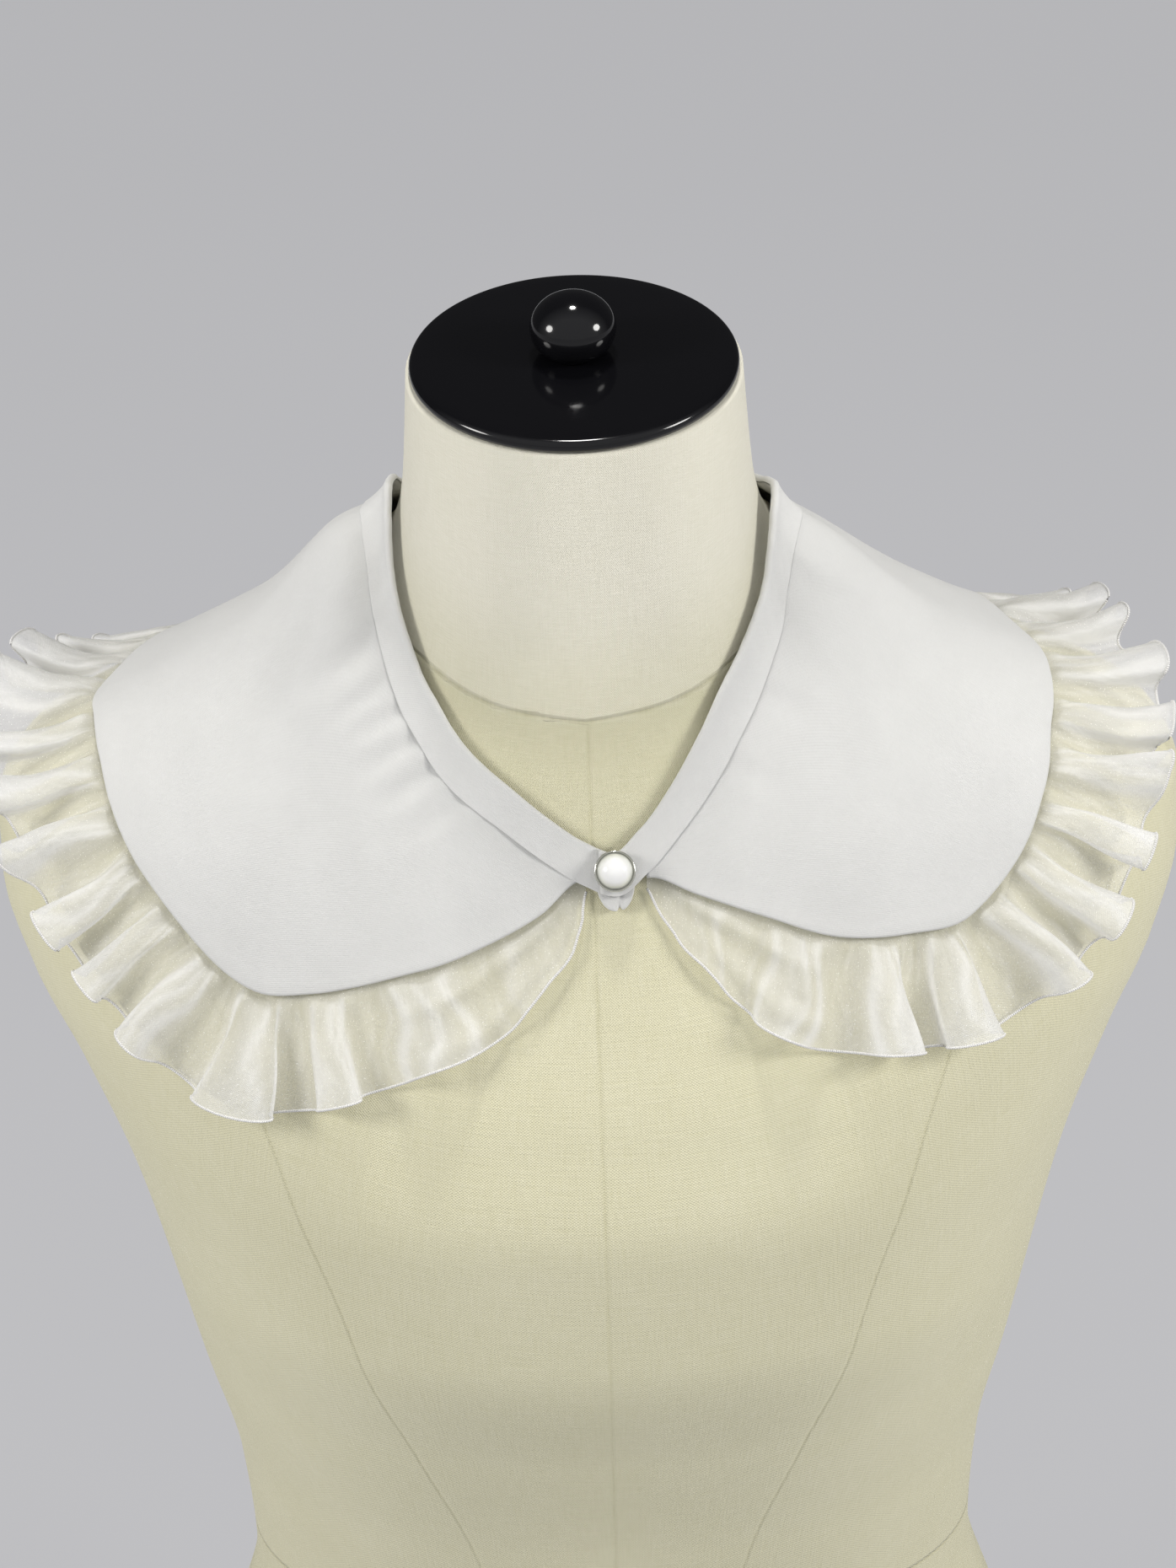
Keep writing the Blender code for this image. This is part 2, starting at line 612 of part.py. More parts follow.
def button_pearl(collection, look):
    angles = np.radians(np.linspace(90, 0, 8))
    low = RIM_FLOOR + GAP
    profile = [(PEARL_RADIUS * math.cos(a), low + PEARL_HEIGHT * math.sin(a)) for a in angles]
    profile[0] = (0.0, low + PEARL_HEIGHT)
    profile.append((0.0, low))
    place = front_frame(BUTTON_DROP, RIGHT_END_LIFT + BAND_WALL / 2 + GAP)
    return turned("button_pearl", profile, 28, collection, look, place)


def button_tab(collection, look):
    """Folded end of the neck strip, seen under the button with two soft lobes."""
    across = np.linspace(-1, 1, 13)
    share = np.linspace(0, 1, 4)
    side, drop = np.meshgrid(across, share)
    lobe = 1 - TAB_NOTCH * np.cos(2 * np.pi * side) - TAB_ROUNDING * side ** 4
    down = TAB_TOP + (TAB_BOTTOM - TAB_TOP) * drop * lobe
    half_width = TAB_WIDTH / 2 * (1 - TAB_NARROWING * drop)
    degrees = MIDDLE + np.degrees(side * half_width / FRONT_RADIUS)
    points = collar_line(degrees, down, np.full(degrees.shape, TAB_LIFT))
    return shell("button_tab", points, BAND_WALL, collection, look)


def outer_edge():
    """Collar's outer edge from the left corner, round the back to the right, by length along it."""
    start = MIDDLE - LEAF_START
    degrees = np.linspace(start, start - (360 - 2 * LEAF_START), EDGE_SAMPLES)
    points = collar_line(degrees, collar_row(degrees)[1], np.full(degrees.shape, RUFFLE_LIFT))
    run = np.concatenate([[0], np.cumsum(np.linalg.norm(np.diff(points, axis=0), axis=1))])
    return points, run


def fold_places(length):
    """Lengths along the edge, evenly spaced in the folds' own count."""
    share = np.linspace(0, 1, EDGE_SAMPLES)
    folds = through(WAVES, share)[:, 0]
    starts, goes_on, rate, part = UNEVEN_SPACING
    behind = np.sin(np.pi * np.clip((share - starts) / goes_on, 0, 1))
    folds = folds + part * behind * np.sin(rate * folds)
    steps = np.linspace(0, WAVES[-1][1], WAVES[-1][1] * POINTS_PER_FOLD + 1)
    return np.interp(steps, folds, share) * length, steps


def ruffle_points(edge, run, out_share, along, fold):
    """Row of the ruffle: a distance out from the collar's edge, at lengths along the edge."""
    length = run[-1]
    at, ahead, behind = [
        np.stack([np.interp(along + reach, run, edge[:, k]) for k in range(3)], -1)
        for reach in (0.0, EDGE_REACH, -EDGE_REACH)
    ]
    tangent = unit(ahead - behind)
    _, n = height_above(at)
    out = unit(np.cross(n, tangent))
    to_end = np.minimum(along, length - along)
    away = np.where(along < length / 2, 1.0, -1.0)
    lean = CORNER_LEAN * ease(to_end / LEAN_START) * (1 - ease(to_end / LEAN_RUN)) * away
    out = unit(out + tangent * lean[:, None])
    waves = through(WAVES, along / length)
    round_off = np.sin(np.pi / 2 * np.clip(to_end / RUFFLE_CORNER, 0, 1)) ** CORNER_POWER
    kept = np.maximum(round_off, CORNER_WIDTH) * waves[:, 4]
    width = out_share * kept if out_share > 0 else np.full(along.shape, out_share)
    sag = waves[:, 2] * (np.maximum(width, 0) / RUFFLE_WIDTH) ** 2
    free = at + out * width[:, None] - n * sag[:, None]
    free_height, _ = height_above(free)
    grown = ease((width - WAVE_START) / (RUFFLE_WIDTH - WAVE_START)) ** FOLD_GROWTH
    half = waves[:, 1] * grown
    half *= 1 + sum(share * np.sin(rate * fold + start) for rate, start, share in UNEVEN_HEIGHT)
    middle = np.maximum(free_height, RUFFLE_LIFT + HEM_CLEAR * grown + half)
    middle = np.where(width < WAVE_START, RUFFLE_LIFT, middle)
    crest = -np.cos(2 * np.pi * fold)
    over = FOLD_OVER * np.minimum(waves[:, 1] / FULL_FOLD, 1)
    side = over * grown * np.sin(4 * np.pi * fold) + waves[:, 3] * grown * crest
    placed = free + tangent * side[:, None]
    return set_height(placed, middle + half * crest)


def ruffle(collection, look):
    edge, run = outer_edge()
    along, fold = fold_places(run[-1])
    rows = [ruffle_points(edge, run, width, along, fold) for width in RUFFLE_ROWS]
    return shell("ruffle", np.array(rows), RUFFLE_WALL, collection, look)


def build():
    clear_scene()
    parts = bpy.data.collections.new(NAME)
    bpy.context.scene.collection.children.link(parts)
    linen = material("cream_linen", (0.72, 0.69, 0.56), 0.85)
    board = material("beech_board", (0.55, 0.42, 0.27), 0.60)
    black = material("black_lacquer", (0.010, 0.010, 0.011), 0.12)
    cotton = material("white_cotton", (0.80, 0.79, 0.76), 0.80)
    band = material("white_binding", (0.78, 0.77, 0.74), 0.80)
    organza = material("white_organza", (0.84, 0.83, 0.80), 0.45)
    metal = material("silver_metal", (0.62, 0.61, 0.58), 0.20, 1.0)
    pearl = material("pearl", (0.88, 0.87, 0.84), 0.15)
    form_body(parts, linen)
    form_base(parts, board)
    form_neck_cap(parts, black)
    form_knob(parts, black)
    collar_body(parts, cotton)
    neck_binding(parts, band)
    button_tab(parts, band)
    button_rim(parts, metal)
    button_pearl(parts, pearl)
    ruffle(parts, organza)


if __name__ == "__main__":
    build()
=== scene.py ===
"""Looks of the detachable collar on its dress form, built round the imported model."""
import math

import bpy
import numpy as np
from mathutils import Matrix, Vector


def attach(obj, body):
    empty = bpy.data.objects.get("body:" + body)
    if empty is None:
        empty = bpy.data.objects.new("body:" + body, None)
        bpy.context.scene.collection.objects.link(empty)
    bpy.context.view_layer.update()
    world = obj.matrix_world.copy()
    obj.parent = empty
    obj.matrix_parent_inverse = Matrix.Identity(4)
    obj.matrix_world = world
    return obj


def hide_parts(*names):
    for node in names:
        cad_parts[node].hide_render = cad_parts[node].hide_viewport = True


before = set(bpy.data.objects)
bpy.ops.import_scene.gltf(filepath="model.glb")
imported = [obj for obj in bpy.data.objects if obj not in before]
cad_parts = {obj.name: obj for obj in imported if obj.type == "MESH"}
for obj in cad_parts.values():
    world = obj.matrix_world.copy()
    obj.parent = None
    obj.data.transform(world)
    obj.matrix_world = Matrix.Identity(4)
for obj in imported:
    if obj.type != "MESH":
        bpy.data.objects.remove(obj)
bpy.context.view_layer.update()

# Layers of cloth, counted outwards from the form, in metres
SEAT = 0.0005                   # ruffle seam above the form
RUFFLE_WALL = 0.0010            # of the ruffle's solid, which fixes the layers over it
COLLAR_WALL = 0.0012
BAND_WALL = 0.0010
SEAM_GAP = 0.0006
EDGE_GAP = 0.0006
GAP = 0.0003
RUFFLE_LIFT = SEAT + RUFFLE_WALL / 2
EDGE_LIFT = RUFFLE_LIFT + RUFFLE_WALL / 2 + EDGE_GAP + COLLAR_WALL / 2
NECK_LIFT = SEAT + COLLAR_WALL / 2
BAND_OVER_COLLAR = COLLAR_WALL / 2 + SEAM_GAP + BAND_WALL / 2

# The dress form
BOARD_THICK = 0.012
BOARD_FILLET = 0.003            # of its upper edge
BOARD_EASE = 0.0015             # of its lower edge
BOARD_RING = 0.020              # in from the edge, the last ring of its upper face
FORM_COLUMNS = 200
BODY_ROWS = 200
NECK_ROWS = 24
BODY_TOP = 0.600                # where the rows begin to slant towards the neck's cut
NECK_TOP = 0.650
NECK_TOP_Y = -0.016
NECK_SLANT = math.radians(12)
NECK_BLEND = 0.010              # softness of the join between neck and torso
CLOTH_BLEND = 0.013             # the same where the cloth drapes over it
SMALL_STEP = 0.0001             # each way, for slopes of the surface
TURNED_IN = 0.0012              # edge of the cover at the top of the neck
TURNED_IN_OF = 0.055            # and the neck's radius there
FOOT_ROUNDING = 0.0012          # height of the cover's lower edge over the board
FOOT_INSET = 0.008              # and how far it is drawn in, as a share of the radius
# Height, half width, depth in front, depth behind, squareness of the torso's sections
TORSO = (
    (0.000, 0.163, 0.092, 0.112, 2.20),
    (0.045, 0.166, 0.094, 0.116, 2.20),
    (0.095, 0.160, 0.094, 0.112, 2.20),
    (0.145, 0.146, 0.091, 0.100, 2.20),
    (0.195, 0.133, 0.088, 0.088, 2.20),
    (0.240, 0.136, 0.096, 0.088, 2.20),
    (0.290, 0.147, 0.112, 0.094, 2.20),
    (0.340, 0.157, 0.128, 0.100, 2.25),
    (0.380, 0.167, 0.129, 0.104, 2.30),
    (0.420, 0.181, 0.118, 0.107, 2.50),
    (0.450, 0.194, 0.105, 0.108, 2.60),
    (0.478, 0.201, 0.091, 0.108, 2.60),
    (0.500, 0.201, 0.079, 0.106, 2.50),
    (0.516, 0.193, 0.069, 0.103, 2.30),
    (0.530, 0.170, 0.059, 0.098, 2.15),
    (0.548, 0.131, 0.045, 0.091, 2.05),
    (0.569, 0.092, 0.030, 0.082, 2.00),
    (0.592, 0.057, 0.017, 0.069, 2.00),
    (0.615, 0.030, 0.008, 0.046, 2.00),
    (0.636, 0.008, 0.003, 0.015, 2.00),
)
# Height, half width, half depth, y of the middle of the neck's sections
NECK = (
    (0.480, 0.0820, 0.0720, 0.020),
    (0.520, 0.0750, 0.0680, 0.012),
    (0.545, 0.0690, 0.0660, 0.006),
    (0.570, 0.0620, 0.0620, 0.001),
    (0.600, 0.0582, 0.0590, -0.005),
    (0.625, 0.0562, 0.0565, -0.010),
    (0.650, 0.0545, 0.0545, -0.014),
    (0.670, 0.0530, 0.0530, -0.018),
)
FRONT_SEAM = 0.4                # degrees round to the seam down the middle of the front
SIDE_SEAM = 91.0
WAIST_SEAM = 0.205              # height
NECK_FOOT_TONE = 0.5            # how far the cover has the neck's paler tone at the neck's foot; its darker tone there is painted shade
NECK_FADE = 0.045               # height over which it becomes that tone in full
NECK_EDGE = 0.002               # width of the change at the neck seam
SEAM_WIDTH = 0.0011             # half the groove along a seam
NO_SEAM = 0.010                 # distance stated where no seam runs down
# Height, degrees round to the panel seams in front and behind
PANEL_SEAMS = (
    (0.000, 27.0, 152.0),
    (0.195, 25.0, 155.0),
    (0.300, 33.0, 148.0),
    (0.360, 38.0, 143.0),
    (0.430, 48.0, 134.0),
    (0.500, 66.0, 118.0),
    (0.548, 84.0, 98.0),
    (0.600, 86.0, 96.0),
)
# Degrees from the front, height of the seam at the foot of the neck
NECK_SEAM = (
    (0.0, 0.5452),
    (25.0, 0.5490),
    (57.0, 0.5610),
    (95.0, 0.5800),
    (140.0, 0.5900),
    (180.0, 0.5920),
)

# Neck cap and knob, turned about the neck's slanting axis
CAP_RADIUS = 0.0533
CAP_THICK = 0.0045
CAP_DOME = 0.0015
KNOB_RADIUS = 0.0140
KNOB_HALF_HEIGHT = 0.0115
KNOB_STEM = 0.0085
KNOB_HEIGHT = 0.0200
CAP_RINGS = (0.08, 0.94, 14)    # shares of the radius on the dome, and how many
CAP_POWER = 2.2                 # of the dome's fall towards the rim
KNOB_ARC = (86, -48, 28)        # degrees of the ball between its top and its stem, and points
KNOB_WAIST = 0.96               # the stem's narrowest place, as a share of its radius
KNOB_FOOT = (1.06, 0.0006)      # its foot: share of the radius, height

# The collar: degrees round from the front, minus to the left as it is looked at; height of the
# neck edge; depth down to the outer edge; how far the neck edge stands off the form; how far the
# cloth bridges the hollow between neck and shoulder
COLLAR = (
    (-180, 0.5880, 0.0940, 0.0000, 0.0020),
    (-150, 0.5890, 0.0960, 0.0000, 0.0024),
    (-120, 0.5930, 0.1020, 0.0004, 0.0038),
    (-105, 0.6000, 0.1123, 0.0011, 0.0074),
    (-95, 0.6050, 0.1238, 0.0015, 0.0096),
    (-86, 0.6060, 0.1330, 0.0017, 0.0107),
    (-79, 0.5988, 0.1311, 0.0018, 0.0095),
    (-70, 0.5825, 0.1269, 0.0019, 0.0064),
    (-63, 0.5713, 0.1239, 0.0017, 0.0034),
    (-56, 0.5612, 0.1209, 0.0010, 0.0022),
    (-51, 0.5543, 0.1157, 0.0005, 0.0012),
    (-45, 0.5472, 0.1026, 0.0002, 0.0006),
    (-40, 0.5407, 0.0896, 0.0000, 0.0002),
    (-34, 0.5341, 0.0754, 0.0000, 0.0000),
    (-28, 0.5287, 0.0638, 0.0000, 0.0000),
    (-22, 0.5238, 0.0520, 0.0000, 0.0000),
    (-11, 0.5145, 0.0300, 0.0000, 0.0000),
    (-2, 0.5076, 0.0114, 0.0000, 0.0000),
    (5.5, 0.5040, 0.0090, 0.0000, 0.0000),
    (13, 0.5105, 0.0145, 0.0000, 0.0000),
    (22, 0.5215, 0.0337, 0.0000, 0.0000),
    (33, 0.5368, 0.0622, 0.0005, 0.0000),
    (42, 0.5505, 0.0898, 0.0008, 0.0003),
    (50, 0.5598, 0.1078, 0.0012, 0.0006),
    (57, 0.5680, 0.1215, 0.0018, 0.0014),
    (64, 0.5772, 0.1254, 0.0026, 0.0024),
    (70, 0.5884, 0.1272, 0.0032, 0.0034),
    (78, 0.5985, 0.1240, 0.0034, 0.0052),
    (86, 0.6010, 0.1170, 0.0030, 0.0054),
    (95, 0.5995, 0.1060, 0.0015, 0.0040),
    (105, 0.5960, 0.0990, 0.0004, 0.0032),
    (120, 0.5920, 0.0968, 0.0000, 0.0026),
    (150, 0.5890, 0.0950, 0.0000, 0.0020),
    (180, 0.5880, 0.0940, 0.0000, 0.0020),
)
BRIDGE_SPAN = 0.075             # down from the neck edge, where the bridge comes to rest
BRIDGE_POWER = 0.75             # under 1, it rises sooner below the neck edge
LIFT_DONE = 0.8                 # share of the depth, where a leaf lies at the ruffle's layers
FALL_LINE = (-0.004, 0.200, 205)    # above and below the neck edge, and points between them
MIDDLE = 5.5                    # degrees round to the button, where the ends meet
LEAF_START = 7.0                # degrees from there to the front corner of each leaf
COLLAR_COLUMNS = 420
FACE_ROWS = 44
ROW_CROWDING = 0.06             # of a face's rows towards its two edges
EDGE_POINTS = 6                 # round the outer edge's fold
EDGE_SWELL = 0.0003             # the turned edge is a little thicker than the rest
SWELL_REACH = 0.004
RIM_REACH = 0.010               # of the rim's waviness, in from the outer edge
RIM_WAVE = (21, 0.7, 0.00025)   # waves round, where they start, height
LEAF_WAVE = (5, 46, 0.00030)    # waves round, turn over a metre down, height
LEAF_WAVE_EASE = 0.03           # from the band and from the edge, where those begin
PUCKER_LEAD = 0.15              # share of a pucker's length that lies above its start
PUCKER_POWER = 0.6              # under 1, it is deepest near the band
PUCKER_RIDGE = (1.6, 0.55)      # ridge beside it: half widths away, share of the depth
# Puckers in the leaves below the band: degrees, distance below the band, length, half width in
# degrees, depth, slant in degrees over the length
PUCKERS = (
    (-66.0, 0.0060, 0.034, 2.8, 0.0020, -3.0),
    (-58.5, 0.0050, 0.028, 1.7, 0.0011, -4.0),
    (-52.5, 0.0020, 0.024, 1.5, 0.0013, -5.0),
    (-46.5, 0.0010, 0.026, 1.6, 0.0013, -6.0),
    (-40.0, 0.0010, 0.028, 1.6, 0.0011, -7.0),
    (-32.0, 0.0010, 0.026, 1.7, 0.0006, -8.0),
    (-98.0, 0.0040, 0.032, 2.2, 0.0008, 0.0),
    (-128.0, 0.0030, 0.030, 2.4, 0.0007, 2.0),
    (-161.0, 0.0030, 0.026, 2.2, 0.0006, 0.0),
    (176.0, 0.0030, 0.030, 2.0, 0.0007, -2.0),
    (149.0, 0.0030, 0.028, 2.4, 0.0006, 0.0),
    (117.0, 0.0030, 0.032, 2.2, 0.0008, 2.0),
    (74.0, 0.0060, 0.034, 2.6, 0.0006, 4.0),
    (52.0, 0.0040, 0.026, 2.0, 0.0004, 6.0),
    (38.0, 0.0030, 0.024, 1.8, 0.0004, 7.0),
)

# Neck band
# Degrees round from the front, width of the band
BAND = (
    (-180, 0.0132),
    (-95, 0.0136),
    (-46, 0.0140),
    (-20, 0.0127),
    (5.5, 0.0126),
    (19, 0.0130),
    (30, 0.0148),
    (43, 0.0174),
    (58, 0.0158),
    (74, 0.0166),
    (95, 0.0150),
    (130, 0.0134),
    (180, 0.0132),
)
BAND_CROSS = 3.6                # degrees each end runs past the button
NECK_RADIUS = 0.060             # about the neck edge
SLANT_REACH = 0.5               # degrees each way, for the slope of the neck edge
SLANT_MOST = 1.9                # the fold reaches at most this much further for it
BAND_SINK = -0.00076            # of its lower edge towards the leaf
BAND_THINS = 0.00040            # half of what it loses in thickness there
BAND_COLUMNS = 420
# Round its lower edge: share of the width, angle
BAND_EDGE = (
    (0.985, -1.2),
    (1.000, -0.5),
    (1.000, 0.5),
    (0.985, 1.2),
)
# Where its lower edge gapes: degrees, reach in degrees, height
BAND_GAPES = (
    (-15.5, 5.0, 0.00055),
    (-43.0, 5.0, 0.00020),
)
BAND_PULL = (90, 3, 0.00006)    # stitches' pull: waves round, turn over the width, height
LIP_STEP = 0.0002               # of the inner lip, under its turn
LEFT_END_LIFT = RUFFLE_LIFT + RUFFLE_WALL + 2 * GAP + BAND_WALL
RIGHT_END_LIFT = LEFT_END_LIFT + BAND_WALL + SEAM_GAP
END_TAPER = 16.0                # degrees over which an end moves to its own lift

# Button and the folded end under it
BUTTON_DROP = 0.0045            # below the neck edge
BUTTON_RADIUS = 0.0067
PEARL_RADIUS = 0.0058
PEARL_HEIGHT = 0.0052
RIM_HEIGHT = 0.0016
RIM_FLOOR = 0.0006              # metal under the pearl
UP_STEP = 0.002                 # up the front, for the button's upright direction
TAB_WIDTH = 0.0146
TAB_TOP = 0.0072                # down from the neck edge
TAB_BOTTOM = 0.0173
TAB_NARROWING = 0.24            # share of the width lost at the bottom
TAB_GRID = (49, 26)
TAB_NOTCH = (0.12, 0.11, 0.13)  # between the lobes: place, half width, share of the length
TAB_ROUNDING = 0.34             # of the outer corners, as a share of the length
TAB_CORNER_POWER = 3.5
TAB_PUFF = 0.0016
TAB_CREASE = (0.16, 0.0013)     # down from the notch: half width, depth
TAB_SIDE_CREASE = (-0.45, 0.5, 0.12, 0.0007)    # place, slant, half width, depth
TAB_EDGE = 6                    # how many times a share of the size its edges round over
TAB_THIN = 0.02                 # squared share of the wall that is left at the edge
TAB_LIFT = SEAT + BAND_WALL / 2
FRONT_RADIUS = 0.081            # of the form behind the button

# Ruffle
RUFFLE_WIDTH = 0.039
RUFFLE_TUCK = 0.0025            # under the collar
POINTS_PER_FOLD = 28
RUFFLE_ROWS = 30
ROW_POWER = 1.25                # over 1, they stand closer at the seam
EDGE_SAMPLES = 1400
EDGE_REACH = 0.003              # each way along the edge, for its direction
SHEER_COVER = 0.39              # share of the light that one flat layer stops
CREST_HIGHLIGHT_COVER = 0.24              # more of it along the crests, a painted highlight
PLEAT_AND_HIGHLIGHT_COVER = 0.46              # and along lines at the folds' sides, partly where the cloth doubles on itself and partly painted highlights
# Place in a fold, half width, weight of those lines
PLEAT_AND_HIGHLIGHT_LINES = (
    (0.30, 0.050, 1.0),
    (0.46, 0.030, 0.6),
    (0.71, 0.065, 0.9),
    (0.93, 0.025, 0.35),
)
PLEAT_DRIFT = (0.05, 2.7, 9, 160, 5)    # of a line in its fold, and how that changes
RIDGE_REACH = 0.006             # out from the seam, where crests and lines show in full
COVER_FADE = (0.07, 0.05)       # and from the left and right ends, as shares of the length
STEEPEST = 0.14                 # least level that a steep fold counts as
DENSEST = 0.88
HEM_RADIUS = 0.00045
HEM_SIDES = 8
RUFFLE_CORNER = 0.062           # along the edge, where the strip reaches its full width
CORNER_POWER = 0.60
CORNER_WIDTH = 0.08             # share of the width left at the very corner
CORNER_LEAN = 0.50              # how far the threads lean back at the front corners
LEAN_START = 0.010              # along the edge, where they lean most
LEAN_RUN = 0.060
WAVE_START = 0.0005             # from the collar's edge to where the folds begin
FOLD_GROWTH = (0.75, 0.06)      # power of their growth, share of the width where it starts
HEM_CLEAR = 0.0010              # more room under the troughs at the hem than at the seam
# Folds differ in height: how fast that changes along the folds, where it starts, by what share
UNEVEN_HEIGHT = (
    (1.90, 0.0, 0.16),
    (0.83, 1.0, 0.10),
)
# The folds behind are uneven in spacing: share of the way round where that starts, how far it
# goes on, how fast it changes, by what part of a fold
UNEVEN_SPACING = (0.25, 0.48, 1.9, 0.10)
SPACING_SAMPLES = 4001
# Share of the way round the outer edge from the left corner, folds up to there, half height of
# the folds at the hem, how far the hem sags below a straight strip, how far the folds lean, part
# of the full width that the creases leave
WAVES = (
    (0.0000, 0, 0.0010, 0.0010, 0.0000, 1.00),
    (0.0240, 0.45, 0.0014, 0.0015, 0.0000, 0.80),
    (0.0480, 1, 0.0022, 0.0022, 0.0000, 0.79),
    (0.0881, 2, 0.0052, 0.0025, -0.0010, 0.87),
    (0.1135, 3, 0.0060, 0.0025, -0.0036, 0.96),
    (0.1373, 4, 0.0050, 0.0020, 0.0012, 1.00),
    (0.1591, 5, 0.0056, 0.0010, 0.0020, 0.97),
    (0.1808, 6, 0.0054, -0.0010, -0.0012, 0.97),
    (0.2021, 7, 0.0060, -0.0040, 0.0022, 0.94),
    (0.2217, 8, 0.0058, -0.0070, 0.0010, 0.94),
    (0.2447, 9, 0.0062, -0.0110, -0.0014, 0.96),
    (0.2900, 11, 0.0068, -0.0170, 0.0016, 1.00),
    (0.3350, 13, 0.0058, -0.0080, -0.0012, 1.00),
    (0.3900, 16, 0.0050, 0.0055, 0.0014, 1.00),
    (0.5000, 21, 0.0050, 0.0065, -0.0014, 1.00),
    (0.6250, 26, 0.0050, 0.0055, 0.0014, 1.00),
    (0.6800, 29, 0.0058, -0.0080, 0.0000, 1.00),
    (0.7317, 31, 0.0068, -0.0135, -0.0012, 0.98),
    (0.7558, 32, 0.0064, -0.0140, 0.0012, 0.94),
    (0.7812, 33, 0.0062, -0.0140, -0.0014, 0.94),
    (0.8016, 34, 0.0060, -0.0100, -0.0020, 0.94),
    (0.8233, 35, 0.0058, -0.0060, -0.0012, 0.96),
    (0.8411, 36, 0.0058, -0.0030, 0.0012, 0.99),
    (0.8603, 37, 0.0056, 0.0000, -0.0012, 1.03),
    (0.8810, 38, 0.0062, 0.0010, -0.0036, 0.93),
    (0.9015, 39, 0.0060, 0.0020, -0.0040, 0.95),
    (0.9255, 40, 0.0050, 0.0025, -0.0018, 0.94),
    (0.9600, 41, 0.0022, 0.0022, 0.0000, 0.88),
    (1.0000, 42, 0.0010, 0.0010, 0.0000, 1.00),
)
FOLD_OVER = 0.0030              # how far the sides of a fold run under its crest
FULL_FOLD = 0.0050              # half height from which they do so in full
UNEVEN_OVER = (2.3, 0.5, 0.55)  # how fast that changes, where it starts, by what share
# Folds wander sideways between seam and hem: how fast that changes along the folds, where it
# starts, how far it turns on the way out, how far they go
WANDER = (2.4, 1.0, 2.2, 0.0016)
WANDER_FULL = 0.003             # half height from which they do so in full
GATHER_HEIGHT = 0.0009          # small gathers between the folds, close to the seam
GATHER_REACH = 0.016
GATHER_TURN = 0.5               # where they start in a fold
GATHER_FOLDS = (0.001, 0.003)   # half height where they begin, and more until they are full
# Long creases at the front ends: share and distance out where one starts and ends, half width,
# height
LONG_CREASES = (
    (0.004, 0.005, 0.082, 0.013, 0.0030, 0.0024),
    (0.020, 0.021, 0.078, 0.029, 0.0036, 0.0022),
    (0.066, 0.004, 0.070, 0.024, 0.0016, 0.0026),
    (0.994, 0.006, 0.930, 0.012, 0.0030, 0.0024),
    (0.978, 0.022, 0.926, 0.030, 0.0036, 0.0022),
    (0.943, 0.003, 0.940, 0.022, 0.0018, 0.0026),
)
CREASE_ACROSS = 0.01            # a crease that runs less than this along the edge runs outwards
CREASE_POWER = 0.7              # under 1, it keeps its height for most of its length
CREASE_CORNER = 0.2             # least part of its distance out that it keeps at the corner

# Tones of the cloth, from its dark places to its bright ones
LINEN_STOPS = (0.05, 0.38, 0.62)
BODY_LINEN = ((0.54, 0.51, 0.31), (0.69, 0.66, 0.455), (0.74, 0.71, 0.515))
# The neck's tones, brighter than the body's, are partly the cover's own and partly painted light on the
# neck
NECK_LINEN = ((0.72, 0.69, 0.54), (0.87, 0.84, 0.70), (0.93, 0.90, 0.77))
# The pearl's tones by height are painted reflection and shade: greenish grey at its foot, white at its
# top
PEARL_STOPS = (0.10, 0.40, 0.80)
PEARL_SHADED_TONES = ((0.30, 0.31, 0.25), (0.62, 0.63, 0.56), (0.93, 0.93, 0.91))
LINEN_PITCH = 0.0009            # of the weaves, in metres
COTTON_PITCH = 0.0005
ORGANZA_PITCH = 0.0006
HEM_PITCH = 0.0007
BACKLIT = 0.30                  # share of the organza's light that comes through it

# The room, and the camera at the photo's angle
FLOOR_SIZE = 9.0
FLOOR_GLOW = 0.44
PALE = (0.97, 0.97, 1.0, 1.0)
DOME_RADIUS = 8.0
DOME_COLUMNS = 96
DOME_ROWS = 24
DOME_TONE = 0.47
ROOM_LIGHT = (0.98, 0.985, 1.0, 1.0)
ROOM_AHEAD = 0.57               # strength of the room's light from the camera's side
ROOM_BEHIND = 0.05
ROOM_TURN = (0.25, -0.45)       # heading from which it is that of behind, and of ahead
LAMP_COLOUR = (1.0, 0.985, 0.96)
LAMP_AIM = (0.0, 0.0, 0.5)
# Name, place, diameter, watts
LAMPS = (
    ("left_panel", (-1.9, -0.80, 1.40), 0.70, 24.5),
    ("right_panel", (1.9, -0.80, 1.40), 0.70, 28.0),
    ("top_panel", (0.02, 0.16, 2.30), 0.26, 14.0),
)
CAMERA_UP = math.radians(25.0)
CAMERA_ROLL = math.radians(1.9)
CAMERA_AWAY = 1.30
CAMERA_AIM = (0.0, -0.03, 0.5085)
CAMERA_LENS = (36.0, 89.3)      # sensor's width, focal length in millimetres


